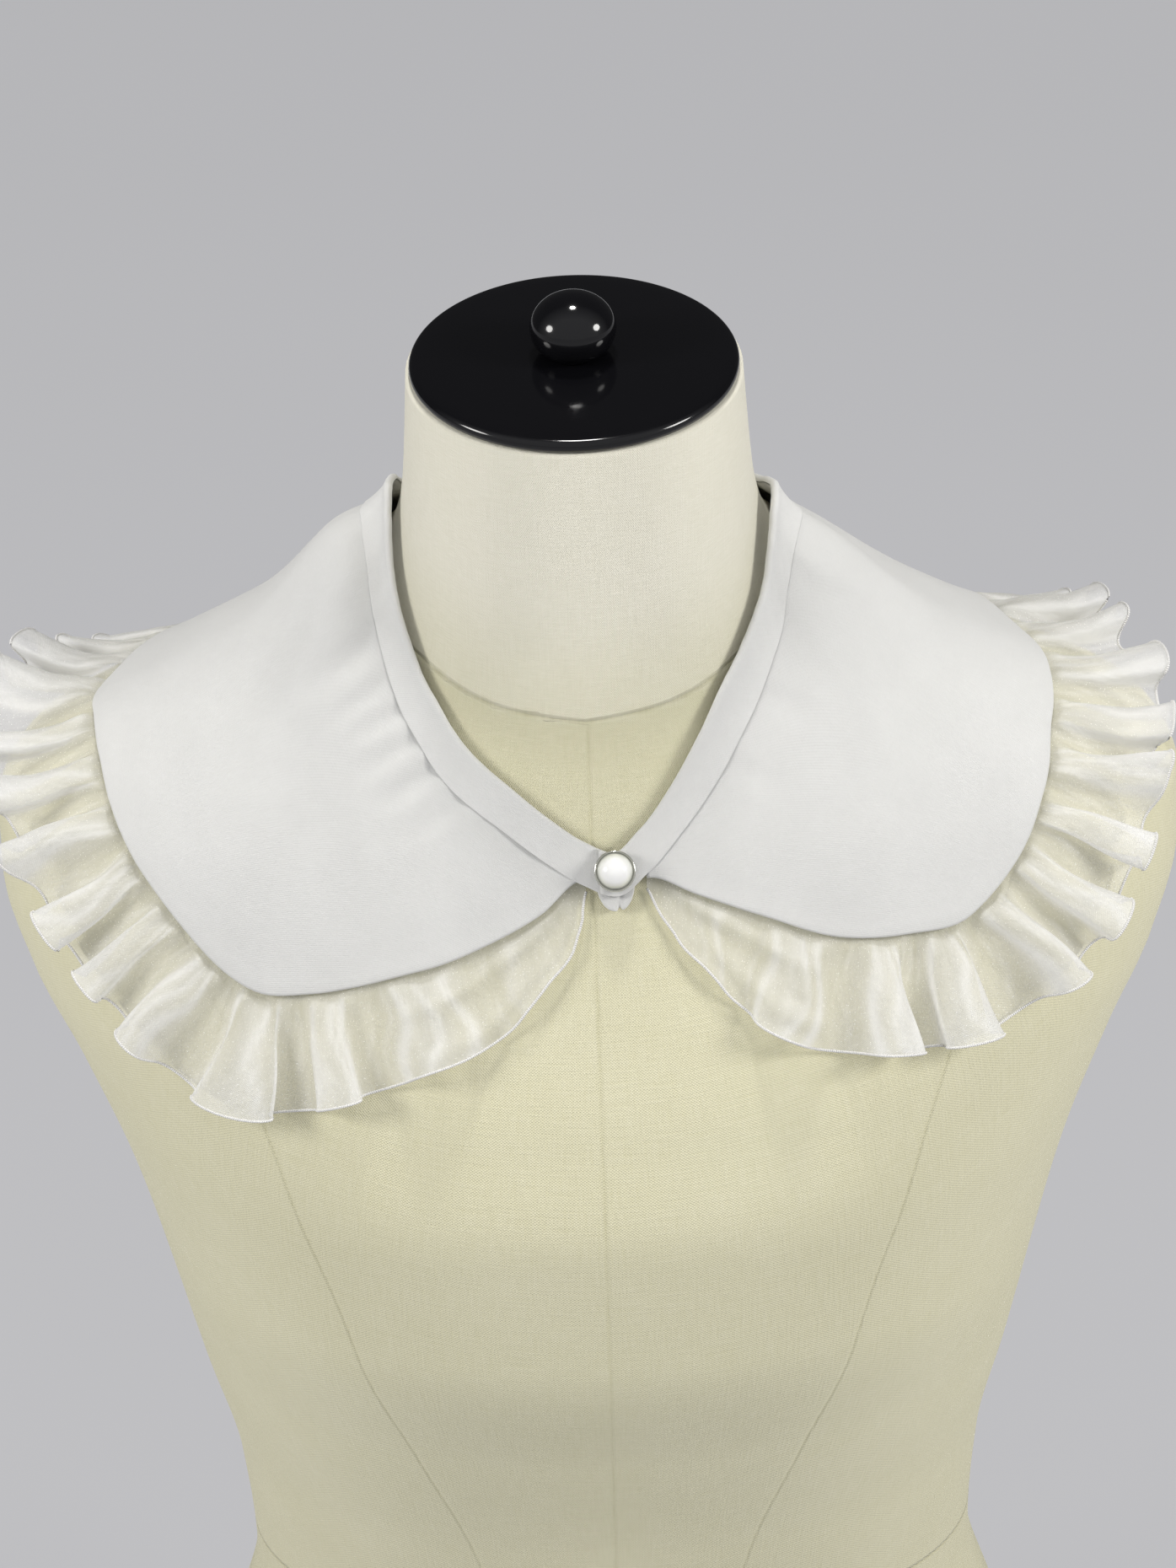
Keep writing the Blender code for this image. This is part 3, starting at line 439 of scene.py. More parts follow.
def through(rows, place):
    """Smooth curve through a table's rows, whose first column is the place, with no overshoot."""
    rows = np.asarray(rows, float)
    at, values = rows[:, 0], rows[:, 1:]
    step = np.diff(at)[:, None]
    rise = np.diff(values, axis=0) / step
    slope = np.zeros_like(values)
    slope[0], slope[-1] = rise[0], rise[-1]
    for i in range(1, len(at) - 1):
        before, after = rise[i - 1], rise[i]
        near = 2 * step[i] + step[i - 1]
        far = step[i] + 2 * step[i - 1]
        turning = before * after <= 0
        safe_before = np.where(turning, 1.0, before)
        safe_after = np.where(turning, 1.0, after)
        slope[i] = np.where(turning, 0.0, (near + far) / (near / safe_before + far / safe_after))
    place = np.clip(np.asarray(place, float), at[0], at[-1])
    i = np.clip(np.searchsorted(at, place, side="right") - 1, 0, len(at) - 2)
    h = step[i, 0]
    t = ((place - at[i]) / h)[..., None]
    h = h[..., None]
    start = (1 + 2 * t) * (1 - t) ** 2 * values[i] + t * (1 - t) ** 2 * h * slope[i]
    return start + t * t * (3 - 2 * t) * values[i + 1] + t * t * (t - 1) * h * slope[i + 1]


def ease(t):
    t = np.clip(t, 0.0, 1.0)
    return t * t * (3 - 2 * t)


def radius(turn, z, blend):
    """Distance from the upright axis to the form, for a turn from the front and a height."""
    turn, z = np.broadcast_arrays(np.asarray(turn, float), np.asarray(z, float))
    across, ahead = np.sin(turn), np.cos(turn)
    body = through(TORSO, z)
    depth = np.where(ahead > 0, body[..., 1], body[..., 2])
    square = body[..., 3]
    torso = (np.abs(across) / body[..., 0]) ** square + (np.abs(ahead) / depth) ** square
    torso = np.where(z > TORSO[-1][0], 0.0, torso ** (-1 / square))
    neck = through(NECK, z)
    wide, deep, middle = neck[..., 0], neck[..., 1], neck[..., 2]
    a = (across / wide) ** 2 + (ahead / deep) ** 2
    b = 2 * ahead * middle / deep ** 2
    c = (middle / deep) ** 2 - 1
    column = (-b + np.sqrt(np.maximum(b * b - 4 * a * c, 0.0))) / (2 * a)
    return np.maximum(torso, column) + blend / 2 * np.exp(-np.abs(torso - column) / blend)


def on_form(turn, z, blend=CLOTH_BLEND):
    turn, z = np.broadcast_arrays(np.asarray(turn, float), np.asarray(z, float))
    out = radius(turn, z, blend)
    return np.stack([out * np.sin(turn), -out * np.cos(turn), z], -1)


def unit(v):
    return v / np.maximum(np.linalg.norm(v, axis=-1, keepdims=True), 1e-12)


def outward(turn, z, blend=CLOTH_BLEND):
    """Outward normal of the surface that the cloth drapes over."""
    step = SMALL_STEP
    along = on_form(turn + step, z, blend) - on_form(turn - step, z, blend)
    upward = on_form(turn, z + step, blend) - on_form(turn, z - step, blend)
    return unit(np.cross(along, upward))


def lifted(turn, z, lift):
    return on_form(turn, z) + outward(turn, z) * np.asarray(lift)[..., None]


def height_above(p):
    """Height of points above the draped surface, with the normal there."""
    turn = np.arctan2(p[..., 0], -p[..., 1])
    out = np.hypot(p[..., 0], p[..., 1])
    n = outward(turn, p[..., 2])
    radial = np.stack([np.sin(turn), -np.cos(turn), np.zeros_like(turn)], -1)
    facing = np.sum(n * radial, -1)
    return (out - radius(turn, p[..., 2], CLOTH_BLEND)) * facing, n


def set_height(p, height):
    for _ in range(4):
        now, n = height_above(p)
        p = p + n * (height - now)[..., None]
    return p


def collar_row(degrees):
    wrapped = (np.asarray(degrees, float) + 180) % 360 - 180
    row = through(COLLAR, wrapped)
    return row[..., 0], row[..., 1], row[..., 2], row[..., 3]


def collar_line(degrees, down, lift):
    """Points of the collar: degrees round from the front, a distance down from the neck edge."""
    degrees, down, lift = np.broadcast_arrays(degrees, down, lift)
    angles, which = np.unique(degrees, return_inverse=True)
    which = which.reshape(degrees.shape)
    fall = np.linspace(*FALL_LINE)
    z = collar_row(angles)[0][:, None] - fall
    lines = on_form(np.radians(angles)[:, None], z)
    steps = np.linalg.norm(np.diff(lines, axis=1), axis=2)
    z_here = np.zeros(degrees.shape)
    for i, step in enumerate(steps):
        run = np.concatenate([[0], np.cumsum(step)])
        run -= np.interp(0.0, fall, run)
        here = which == i
        z_here[here] = np.interp(down[here], run, z[i])
    return lifted(np.radians(degrees), z_here, lift)


def collar_lift(degrees, down):
    """Height of the middle of the collar's wall above the draped surface."""
    _, depth, stand, bridge = collar_row(degrees)
    share = np.clip(down / depth, 0, 1)
    lift = NECK_LIFT + stand + (EDGE_LIFT - NECK_LIFT - stand) * ease(share / LIFT_DONE)
    span = np.clip(np.asarray(down) / BRIDGE_SPAN, 0, 1)
    return lift + bridge * np.sin(np.pi * span ** BRIDGE_POWER) ** 2


# Meshes

def smooth_object(name, mesh, look):
    mesh.shade_smooth()
    mesh.materials.append(look)
    made = bpy.data.objects.new(name, mesh)
    bpy.context.scene.collection.objects.link(made)
    return made


def stand_for(made, node):
    """A piece of the scene in place of a node, which is hidden, hung from the root."""
    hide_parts(node)
    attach(made, "root")
    return made


def add_values(made, name, values):
    attribute = made.data.attributes.new(name, "FLOAT", "POINT")
    attribute.data.foreach_set("value", np.ravel(values).astype(np.float32))


def grid_object(name, points, look, u=None, v=None, round_columns=False, round_rows=False, ends=()):
    """Smooth quad mesh over a rows by columns grid; u and v are cloth coordinates in metres."""
    rows, columns = points.shape[:2]
    index = np.arange(rows * columns).reshape(rows, columns)
    i = np.arange(rows if round_rows else rows - 1)[:, None]
    j = np.arange(columns if round_columns else columns - 1)[None, :]
    i, j = [x.ravel() for x in np.broadcast_arrays(i, j)]
    corners = ((i, j), (i + 1, j), (i + 1, j + 1), (i, j + 1))
    faces = np.stack([index[a % rows, b % columns] for a, b in corners], -1)
    loops = faces.tolist()
    for end in ends:
        loops.append(index[0 if end == "first" else -1].tolist()[::-1 if end == "last" else 1])
    mesh = bpy.data.meshes.new(name)
    mesh.from_pydata(points.reshape(-1, 3).tolist(), [], loops)
    if u is not None:
        layer = mesh.uv_layers.new(name="cloth")
        flat = np.zeros((len(mesh.loops), 2))
        place = np.stack([np.stack([u[a, b], v[a, b]], -1) for a, b in corners], 1)
        flat[:place.shape[0] * 4] = place.reshape(-1, 2)
        layer.data.foreach_set("uv", flat.ravel())
    return smooth_object(name, mesh, look)


def metres_across(points, round_columns=False, round_rows=False):
    """Cloth coordinates of a grid: metres round and metres down, with the repeated last ones."""
    p = points
    if round_columns:
        p = np.concatenate([p, p[:, :1]], 1)
    if round_rows:
        p = np.concatenate([p, p[:1]], 0)
    across = np.linalg.norm(np.diff(p, axis=1), axis=2)
    down = np.linalg.norm(np.diff(p, axis=0), axis=2)
    u = np.concatenate([np.zeros((p.shape[0], 1)), np.cumsum(across, 1)], 1)
    u = u.mean(0, keepdims=True) + 0 * u
    v = np.concatenate([np.zeros((1, p.shape[1])), np.cumsum(down, 0)], 0)
    return u, v


def turned(name, profile, steps, look, place):
    """Turned body, the profile running down the outer side from the axis to the axis."""
    turns = np.arange(steps) * 2 * np.pi / steps
    inner = profile[1:-1]
    rings = np.array([[(r * math.cos(t), r * math.sin(t), z) for t in turns] for r, z in inner])
    rows, columns = rings.shape[:2]
    points = rings.reshape(-1, 3).tolist()
    top, bottom = len(points), len(points) + 1
    points += [(0.0, 0.0, profile[0][1]), (0.0, 0.0, profile[-1][1])]
    faces = []
    for j in range(columns):
        k = (j + 1) % columns
        faces.append((top, j, k))
        for i in range(rows - 1):
            a, b = i * columns, (i + 1) * columns
            faces.append((a + j, b + j, b + k, a + k))
        last = (rows - 1) * columns
        faces.append((bottom, last + k, last + j))
    mesh = bpy.data.meshes.new(name)
    mesh.from_pydata([place @ Vector(p) for p in points], [], faces)
    made = smooth_object(name, mesh, look)
    mesh.set_sharp_from_angle(angle=math.radians(50))
    return made


def arc(centre, size, start, end, count):
    angles = np.radians(np.linspace(start, end, count))
    return [(centre[0] + size * math.cos(a), centre[1] + size * math.sin(a)) for a in angles]


# Materials

class Look:
    """A material under construction: nodes by short calls, then the shader's sockets."""

    def __init__(self, name):
        self.material = bpy.data.materials.new(name)
        self.material.use_nodes = True
        self.tree = self.material.node_tree
        self.shader = self.tree.nodes["Principled BSDF"]
        self.output = self.tree.nodes["Material Output"]

    def node(self, kind, **settings):
        made = self.tree.nodes.new(kind)
        for key, value in settings.items():
            setattr(made, key, value)
        return made

    def link(self, a, b):
        self.tree.links.new(a, b)

    def set(self, **values):
        for key, value in values.items():
            self.shader.inputs[key.replace("_", " ")].default_value = value

    def math(self, kind, a, b=None, c=None):
        made = self.node("ShaderNodeMath", operation=kind)
        for socket, value in zip(made.inputs, (a, b, c)):
            if value is None:
                continue
            if isinstance(value, (int, float)):
                socket.default_value = value
            else:
                self.link(value, socket)
        return made.outputs[0]

    def mixed(self, first, second):
        """Sum of two values, each given with its weight."""
        return self.math("ADD", self.math("MULTIPLY", *first), self.math("MULTIPLY", *second))

    def cloth_place(self):
        """Cloth coordinates in metres, as two outputs and a vector."""
        uv = self.node("ShaderNodeUVMap", uv_map="cloth")
        parts = self.node("ShaderNodeSeparateXYZ")
        self.link(uv.outputs[0], parts.inputs[0])
        return parts.outputs[0], parts.outputs[1], uv.outputs[0]

    def stretched(self, vector, across, down, offset=0.0):
        """A place scaled differently across and down, for noise that runs along one thread."""
        mapping = self.node("ShaderNodeMapping")
        self.link(vector, mapping.inputs["Vector"])
        mapping.inputs["Scale"].default_value = (across, down, 1.0)
        mapping.inputs["Location"].default_value = (offset, offset * 0.7, 0.0)
        return mapping.outputs[0]

    def noise(self, vector, scale, detail=2.0, roughness=0.5):
        made = self.node("ShaderNodeTexNoise")
        self.link(vector, made.inputs["Vector"])
        made.inputs["Scale"].default_value = scale
        made.inputs["Detail"].default_value = detail
        made.inputs["Roughness"].default_value = roughness
        return made.outputs["Fac"]

    def plain_weave(self, u, v, pitch):
        """Over and under of single threads, from -1 to 1."""
        turns = 2 * math.pi / pitch
        warp = self.math("SINE", self.math("MULTIPLY", u, turns))
        weft = self.math("SINE", self.math("MULTIPLY", v, turns))
        return self.math("MULTIPLY", warp, weft)

    def ramp(self, value, stops):
        made = self.node("ShaderNodeValToRGB")
        self.link(value, made.inputs[0])
        while len(made.color_ramp.elements) < len(stops):
            made.color_ramp.elements.new(0.5)
        for element, (place, colour) in zip(made.color_ramp.elements, stops):
            element.position = place
            element.color = (*colour, 1.0)
        return made.outputs[0]

    def bump(self, height, distance, strength=1.0, after=None):
        made = self.node("ShaderNodeBump")
        made.inputs["Distance"].default_value = distance
        made.inputs["Strength"].default_value = strength
        self.link(height, made.inputs["Height"])
        if after is not None:
            self.link(after, made.inputs["Normal"])
        return made.outputs[0]

    def finish(self, colour=None, normal=None, roughness=None):
        if colour is not None:
            self.link(colour, self.shader.inputs["Base Color"])
        if normal is not None:
            self.link(normal, self.shader.inputs["Normal"])
        if roughness is not None:
            self.link(roughness, self.shader.inputs["Roughness"])
        return self.material


def linen_look():
    """Cream linen: plain weave with slubs both ways, seams as fine grooves; the neck's brighter tone is
    partly its own and partly painted light.
    """
    look = Look("linen")
    u, v, place = look.cloth_place()
    across = look.noise(look.stretched(place, 90.0, 1500.0), 1.0, 3.0)
    down = look.noise(look.stretched(place, 1500.0, 90.0, 3.1), 1.0, 3.0)
    threads = look.math("ADD", across, down)
    patches = look.noise(look.stretched(place, 1.0, 1.0), 22.0, 3.0)
    tone = look.mixed((threads, 0.38), (patches, 0.24))
    groove = None
    for name, depth in (("seam_down", 0.5), ("seam_round", 1.0)):
        seam = look.node("ShaderNodeAttribute", attribute_name=name)
        here = look.math("ABSOLUTE", seam.outputs["Fac"])
        dip = look.math("SUBTRACT", 1.0, look.math("DIVIDE", here, SEAM_WIDTH))
        dip = look.math("MULTIPLY", look.math("MAXIMUM", dip, 0.0), depth)
        groove = dip if groove is None else look.math("MAXIMUM", groove, dip)
    tone = look.math("SUBTRACT", tone, look.math("MULTIPLY", groove, 0.30))
    body = look.ramp(tone, tuple(zip(LINEN_STOPS, BODY_LINEN)))
    above = look.ramp(tone, tuple(zip(LINEN_STOPS, NECK_LINEN)))
    # Towards the neck's brighter tone: partly its own, partly painted light, with painted shade at its
    # foot
    column = look.node("ShaderNodeAttribute", attribute_name="neck_column")
    mixed = look.node("ShaderNodeMix", data_type="RGBA")
    look.link(column.outputs["Fac"], mixed.inputs["Factor"])
    look.link(body, mixed.inputs["A"])
    look.link(above, mixed.inputs["B"])
    colour = mixed.outputs["Result"]
    weave = look.bump(look.plain_weave(u, v, LINEN_PITCH), 0.00008)
    slubs = look.bump(threads, 0.00022, 0.7, weave)
    seams = look.bump(look.math("MULTIPLY", groove, -1.0), 0.0006, 1.0, slubs)
    look.set(Roughness=0.88, Sheen_Weight=0.25, Sheen_Roughness=0.5, Specular_IOR_Level=0.25)
    return look.finish(colour, seams)


def cotton_look(name, base, dark):
    """Smooth shirt cotton: close plain weave, faint unevenness from pressing."""
    look = Look(name)
    u, v, place = look.cloth_place()
    across = look.noise(look.stretched(place, 220.0, 3200.0), 1.0, 2.0)
    down = look.noise(look.stretched(place, 3200.0, 220.0, 5.3), 1.0, 2.0)
    threads = look.math("ADD", across, down)
    pressed = look.noise(look.stretched(place, 1.0, 1.0), 45.0, 4.0, 0.55)
    tone = look.mixed((threads, 0.25), (pressed, 0.5))
    colour = look.ramp(tone, ((0.30, dark), (0.70, base)))
    weave = look.bump(look.plain_weave(u, v, COTTON_PITCH), 0.00004)
    fine = look.bump(threads, 0.00008, 0.7, weave)
    soft = look.bump(pressed, 0.0009, 0.35, fine)
    look.set(Roughness=0.80, Sheen_Weight=0.20, Sheen_Roughness=0.45, Specular_IOR_Level=0.30,
             Subsurface_Weight=0.08, Subsurface_Radius=(0.004, 0.004, 0.0035))
    return look.finish(colour, soft)


def organza_look():
    """Sheer crisp organza: denser where its folds stand steep, with a silky glint on threads and painted
    glints as white flecks.
    """
    look = Look("organza")
    u, v, place = look.cloth_place()
    streaks = look.noise(look.stretched(place, 150.0, 22.0), 1.0, 3.0, 0.5)
    threads = look.noise(look.stretched(place, 3000.0, 500.0, 2.0), 1.0, 2.0, 0.6)
    crumple = look.noise(look.stretched(place, 260.0, 120.0, 7.0), 1.0, 4.0, 0.6)
    # Painted glints: white flecks of cover in the streaks
    glint_fleck = look.noise(look.stretched(place, 1500.0, 1500.0), 1.0, 1.0)
    glint_fleck = look.math("MULTIPLY", look.math("GREATER_THAN", glint_fleck, 0.68), streaks)
    # Cover from the strip, which holds its painted highlights on crests and lines
    cover_and_highlights = look.node("ShaderNodeAttribute", attribute_name="cover_and_highlights").outputs["Fac"]
    uneven = look.math("MULTIPLY", look.math("SUBTRACT", streaks, 0.5), 0.34)
    fine = look.math("MULTIPLY", look.math("SUBTRACT", threads, 0.5), 0.16)
    cover = look.math("ADD", look.math("ADD", cover_and_highlights, uneven), fine)
    cover = look.math("ADD", cover, look.math("MULTIPLY", glint_fleck, 0.8))
    cover = look.math("MINIMUM", look.math("MAXIMUM", cover, 0.10), 0.96)
    tone = look.mixed((streaks, 0.6), (crumple, 0.4))
    colour = look.ramp(tone, ((0.30, (0.90, 0.90, 0.885)), (0.65, (0.97, 0.97, 0.96))))
    weave = look.bump(look.plain_weave(u, v, ORGANZA_PITCH), 0.00005)
    soft = look.bump(crumple, 0.0012, 0.8, weave)
    look.set(Roughness=0.34, Sheen_Weight=0.5, Sheen_Roughness=0.3, Specular_IOR_Level=0.8)
    look.link(cover, look.shader.inputs["Alpha"])
    lit_from_behind = look.node("ShaderNodeBsdfTranslucent")
    lit_from_behind.inputs["Color"].default_value = (0.95, 0.945, 0.93, 1.0)
    clear = look.node("ShaderNodeBsdfTransparent")
    glow = look.node("ShaderNodeMixShader")
    look.link(cover, glow.inputs[0])
    look.link(clear.outputs[0], glow.inputs[1])
    look.link(lit_from_behind.outputs[0], glow.inputs[2])
    both = look.node("ShaderNodeMixShader")
    both.inputs[0].default_value = BACKLIT
    look.link(look.shader.outputs[0], both.inputs[1])
    look.link(glow.outputs[0], both.inputs[2])
    look.link(both.outputs[0], look.output.inputs["Surface"])
    return look.finish(colour, soft)


def hem_look():
    """White thread packed along the rolled hem."""
    look = Look("hem_thread")
    u, v, place = look.cloth_place()
    turns = look.math("SINE", look.math("MULTIPLY", u, 2 * math.pi / HEM_PITCH))
    look.set(Base_Color=(0.88, 0.87, 0.85, 1.0), Roughness=0.55, Sheen_Weight=0.3)
    shade = look.ramp(look.math("ADD", look.math("MULTIPLY", turns, 0.5), 0.5),
                      ((0.0, (0.80, 0.79, 0.77)), (1.0, (0.91, 0.90, 0.88))))
    return look.finish(shade, look.bump(turns, 0.00012))


def black_look():
    """Polished black lacquer with the faintest wear in its gloss."""
    look = Look("black_gloss")
    place = look.node("ShaderNodeTexCoord").outputs["Object"]
    wear = look.noise(place, 60.0, 4.0)
    rough = look.math("ADD", look.math("MULTIPLY", wear, 0.10), 0.05)
    soft = look.bump(look.noise(place, 26.0, 2.0), 0.0004, 0.25)
    look.set(Base_Color=(0.004, 0.004, 0.005, 1.0), Specular_IOR_Level=0.42)
    return look.finish(None, soft, rough)


def metal_look():
    look = Look("polished_metal")
    place = look.node("ShaderNodeTexCoord").outputs["Object"]
    look.set(Base_Color=(0.62, 0.62, 0.56, 1.0), Metallic=1.0)
    rough = look.math("ADD", look.math("MULTIPLY", look.noise(place, 900.0, 2.0), 0.10), 0.12)
    return look.finish(None, None, rough)


def pearl_look():
    """Imitation pearl: white under a clear glossy skin, with painted reflection and shade darkening it
    towards its foot.
    """
    look = Look("pearl_skin")
    place = look.node("ShaderNodeTexCoord").outputs["Object"]
    swirl = look.noise(place, 320.0, 3.0)
    # Painted reflection and shade: darker and greener lower on the pearl
    rise = look.node("ShaderNodeAttribute", attribute_name="rise").outputs["Fac"]
    tone = look.math("ADD", rise, look.math("MULTIPLY", swirl, 0.10))
    colour = look.ramp(tone, tuple(zip(PEARL_STOPS, PEARL_SHADED_TONES)))
    look.set(Roughness=0.16, Coat_Weight=0.7, Coat_Roughness=0.05, Subsurface_Weight=0.25,
             Subsurface_Radius=(0.002, 0.002, 0.0018), Sheen_Weight=0.15)
    return look.finish(colour)


def wood_look():
    """Plain sanded beech, grain running across the form."""
    look = Look("beech")
    place = look.node("ShaderNodeTexCoord").outputs["Object"]
    grain = look.noise(look.stretched(place, 3.0, 90.0), 2.2, 5.0, 0.6)
    pores = look.noise(look.stretched(place, 30.0, 900.0), 2.0, 2.0)
    tone = look.mixed((grain, 0.75), (pores, 0.25))
    colour = look.ramp(tone, ((0.35, (0.36, 0.24, 0.13)), (0.65, (0.55, 0.41, 0.26))))
    look.set(Roughness=0.55)
    return look.finish(colour, look.bump(pores, 0.0002, 0.6))


def floor_look():
    look = Look("studio_floor")
    place = look.node("ShaderNodeTexCoord").outputs["Object"]
    cloudy = look.noise(place, 0.9, 2.0)
    colour = look.ramp(cloudy, ((0.3, (0.10, 0.10, 0.105)), (0.7, (0.115, 0.115, 0.12))))
    look.set(Roughness=0.9, Specular_IOR_Level=0.1, Emission_Color=PALE,
             Emission_Strength=FLOOR_GLOW)
    return look.finish(colour)


# Making the dress form

def neck_frame():
    middle = Vector((0.0, NECK_TOP_Y, NECK_TOP))
    return Matrix.Translation(middle) @ Matrix.Rotation(NECK_SLANT, 4, "X")


def between_seams(distances):
    """Distance to the nearest of several seams, its sign changing from panel to panel."""
    nearest = np.min(np.abs(distances), 0)
    panel = np.sum(distances > 0, 0)
    return nearest * np.where(panel % 2 == 0, 1.0, -1.0)


def cover_seams(turn, z):
    """Metres to the seams down and round the form, and how far a point has the neck's tone, which is
    partly painted light and falls off in painted shade at the neck's foot.
    """
    degrees = np.degrees(turn)
    signed = np.where(degrees > 180, degrees - 360, degrees)
    step = SMALL_STEP
    beside = on_form(turn + step, z, NECK_BLEND) - on_form(turn - step, z, NECK_BLEND)
    above = on_form(turn, z + step, NECK_BLEND) - on_form(turn, z - step, NECK_BLEND)
    per_turn = np.linalg.norm(beside, axis=-1) / (2 * step)
    per_height = np.linalg.norm(above, axis=-1) / (2 * step)
    panel = through(PANEL_SEAMS, z)
    one_side = (panel[..., 0], SIDE_SEAM + 0 * z, panel[..., 1])
    seams = np.array([FRONT_SEAM + 0 * z, *one_side, 180 + 0 * z, *[-s for s in one_side]])
    gaps = (signed - seams + 180) % 360 - 180
    panels = np.sum(signed > seams, 0)
    down = np.radians(np.min(np.abs(gaps), 0)) * per_turn * np.where(panels % 2 == 0, 1.0, -1.0)
    neck_seam = through(NECK_SEAM, np.minimum(degrees, 360 - degrees))[..., 0]
    down = np.where(z > neck_seam, np.maximum(np.abs(down), NO_SEAM), down)
    around = between_seams(np.array([z - WAIST_SEAM, z - neck_seam])) * per_height
    tone = NECK_FOOT_TONE + (1 - NECK_FOOT_TONE) * ease((z - neck_seam) / NECK_FADE)
    return down, around, tone * ease((z - neck_seam + NECK_EDGE / 2) / NECK_EDGE)


def form_cover(look):
    turns = np.arange(FORM_COLUMNS) * 2 * np.pi / FORM_COLUMNS
    low = BOARD_THICK + GAP
    heights = low + (BODY_TOP - low) * np.linspace(0, 1, BODY_ROWS + 1)
    levels = [np.full(turns.shape, z) for z in heights]
    for i in range(1, NECK_ROWS + 1):
        part = i / NECK_ROWS
        level = BODY_TOP + (NECK_TOP - BODY_TOP) * part
        z = np.full(turns.shape, level)
        for _ in range(4):
            y = on_form(turns, z, NECK_BLEND)[:, 1]
            z = level + part * (y - NECK_TOP_Y) * math.tan(NECK_SLANT)
        levels.append(z)
    z = np.array(levels[::-1])
    turn = np.broadcast_to(turns, z.shape)
    points = on_form(turn, z, NECK_BLEND)
    middle = np.array([0, NECK_TOP_Y, NECK_TOP])
    rim_top = points[0] * (1 - TURNED_IN / TURNED_IN_OF) + middle * TURNED_IN / TURNED_IN_OF
    foot = points[-1] * (1, 1, 0) * (1 - FOOT_INSET) + (0, 0, low)
    points[-1, :, 2] += FOOT_ROUNDING
    points = np.concatenate([rim_top[None], points, foot[None]])
    turn = np.concatenate([turn[:1], turn, turn[-1:]])
    z = np.concatenate([z[:1], z, z[-1:]])
    u, v = metres_across(points, round_columns=True)
    made = grid_object("form_cover", points, look, u, v, round_columns=True, ends=("first", "last"))
    for name, values in zip(("seam_down", "seam_round", "neck_column"), cover_seams(turn, z)):
        add_values(made, name, values)
    return stand_for(made, "form_body")


def form_board(look):
    """Board under the form, its edges rounded over."""
    turns = np.arange(FORM_COLUMNS) * 2 * np.pi / FORM_COLUMNS
    outline = on_form(turns, np.zeros(turns.shape), NECK_BLEND)
    fillet = BOARD_FILLET
    rows = [(BOARD_RING, BOARD_THICK)]
    rows += [(fillet - fillet * math.sin(a), BOARD_THICK - fillet + fillet * math.cos(a))
             for a in np.linspace(0, np.pi / 2, 6)]
    rows += [(0.0, BOARD_EASE), (BOARD_EASE / 3, BOARD_EASE / 3), (BOARD_EASE, 0.0)]
    length = np.linalg.norm(outline[:, :2], axis=1)[:, None]
    rings = [outline * (1 - inset / length) * (1, 1, 0) + (0, 0, z) for inset, z in rows]
    made = grid_object("form_board", np.array(rings), look, round_columns=True, ends=("first", "last"))
    made.data.set_sharp_from_angle(angle=math.radians(40))
    return stand_for(made, "form_base")


def form_cap(look):
    rim = CAP_THICK / 2
    profile = [(0.0, CAP_THICK + CAP_DOME + GAP)]
    for share in np.linspace(*CAP_RINGS):
        profile.append((CAP_RADIUS * share, CAP_THICK + CAP_DOME * (1 - share ** CAP_POWER) + GAP))
    profile += arc((CAP_RADIUS - rim, rim + GAP), rim, 84, -90, 16)
    profile += [(CAP_RADIUS * 0.5, GAP), (0.0, GAP)]
    made = turned("form_cap_gloss", profile, 160, look, neck_frame())
    return stand_for(made, "form_neck_cap")


def form_knob(look):
    foot = CAP_THICK + CAP_DOME + 2 * GAP
    ball = foot + KNOB_HEIGHT - KNOB_HALF_HEIGHT
    flatten = KNOB_HALF_HEIGHT / KNOB_RADIUS
    profile = [(0.0, foot + KNOB_HEIGHT)]
    profile += [(r, ball + z * flatten) for r, z in arc((0.0, 0.0), KNOB_RADIUS, *KNOB_ARC)]
    neck_low = profile[-1][1]
    flare, flare_height = KNOB_FOOT
    profile += [(KNOB_STEM * KNOB_WAIST, (neck_low + foot) / 2), (KNOB_STEM, foot + flare_height)]
    profile += [(KNOB_STEM * flare, foot), (0.0, foot)]
    made = turned("form_knob_gloss", profile, 96, look, neck_frame())
    return stand_for(made, "form_knob")


# Making the collar

def band_width(degrees):
    wrapped = (np.asarray(degrees, float) + 180) % 360 - 180
    return through(BAND, wrapped)[..., 0]


def soft_relief(degrees, down):
    """Puckers below the band and the slight waviness of a leaf that lies over gathers."""
    relief = np.zeros(np.broadcast(degrees, down).shape)
    wrapped = (degrees + 180) % 360 - 180
    below = down - band_width(degrees)
    ridge_away, ridge_share = PUCKER_RIDGE
    for at, start, length, half, depth, slant in PUCKERS:
        t = (below - start) / length
        across = (wrapped - at - slant * t + 180) % 360 - 180
        run = np.clip((t + PUCKER_LEAD) / (1 + PUCKER_LEAD), 0, 1)
        run = np.where((t > -PUCKER_LEAD) & (t < 1), np.sin(np.pi * run ** PUCKER_POWER), 0.0)
        ridge = np.exp(-((across - ridge_away * half) / half) ** 2)
        relief -= depth * run * (np.exp(-(across / half) ** 2) - ridge_share * ridge)
    depth = collar_row(degrees)[1]
    to_edge = depth - down
    waves, start, high = RIM_WAVE
    rim = np.exp(-(to_edge / RIM_REACH) ** 2) * ease(depth / 0.08)
    relief += high * rim * np.sin(np.radians(degrees) * waves + start)
    waves, turn, high = LEAF_WAVE
    inner = ease(below / LEAF_WAVE_EASE) * ease(to_edge / LEAF_WAVE_EASE)
    return relief + high * np.sin(np.radians(degrees) * waves + down * turn) * inner


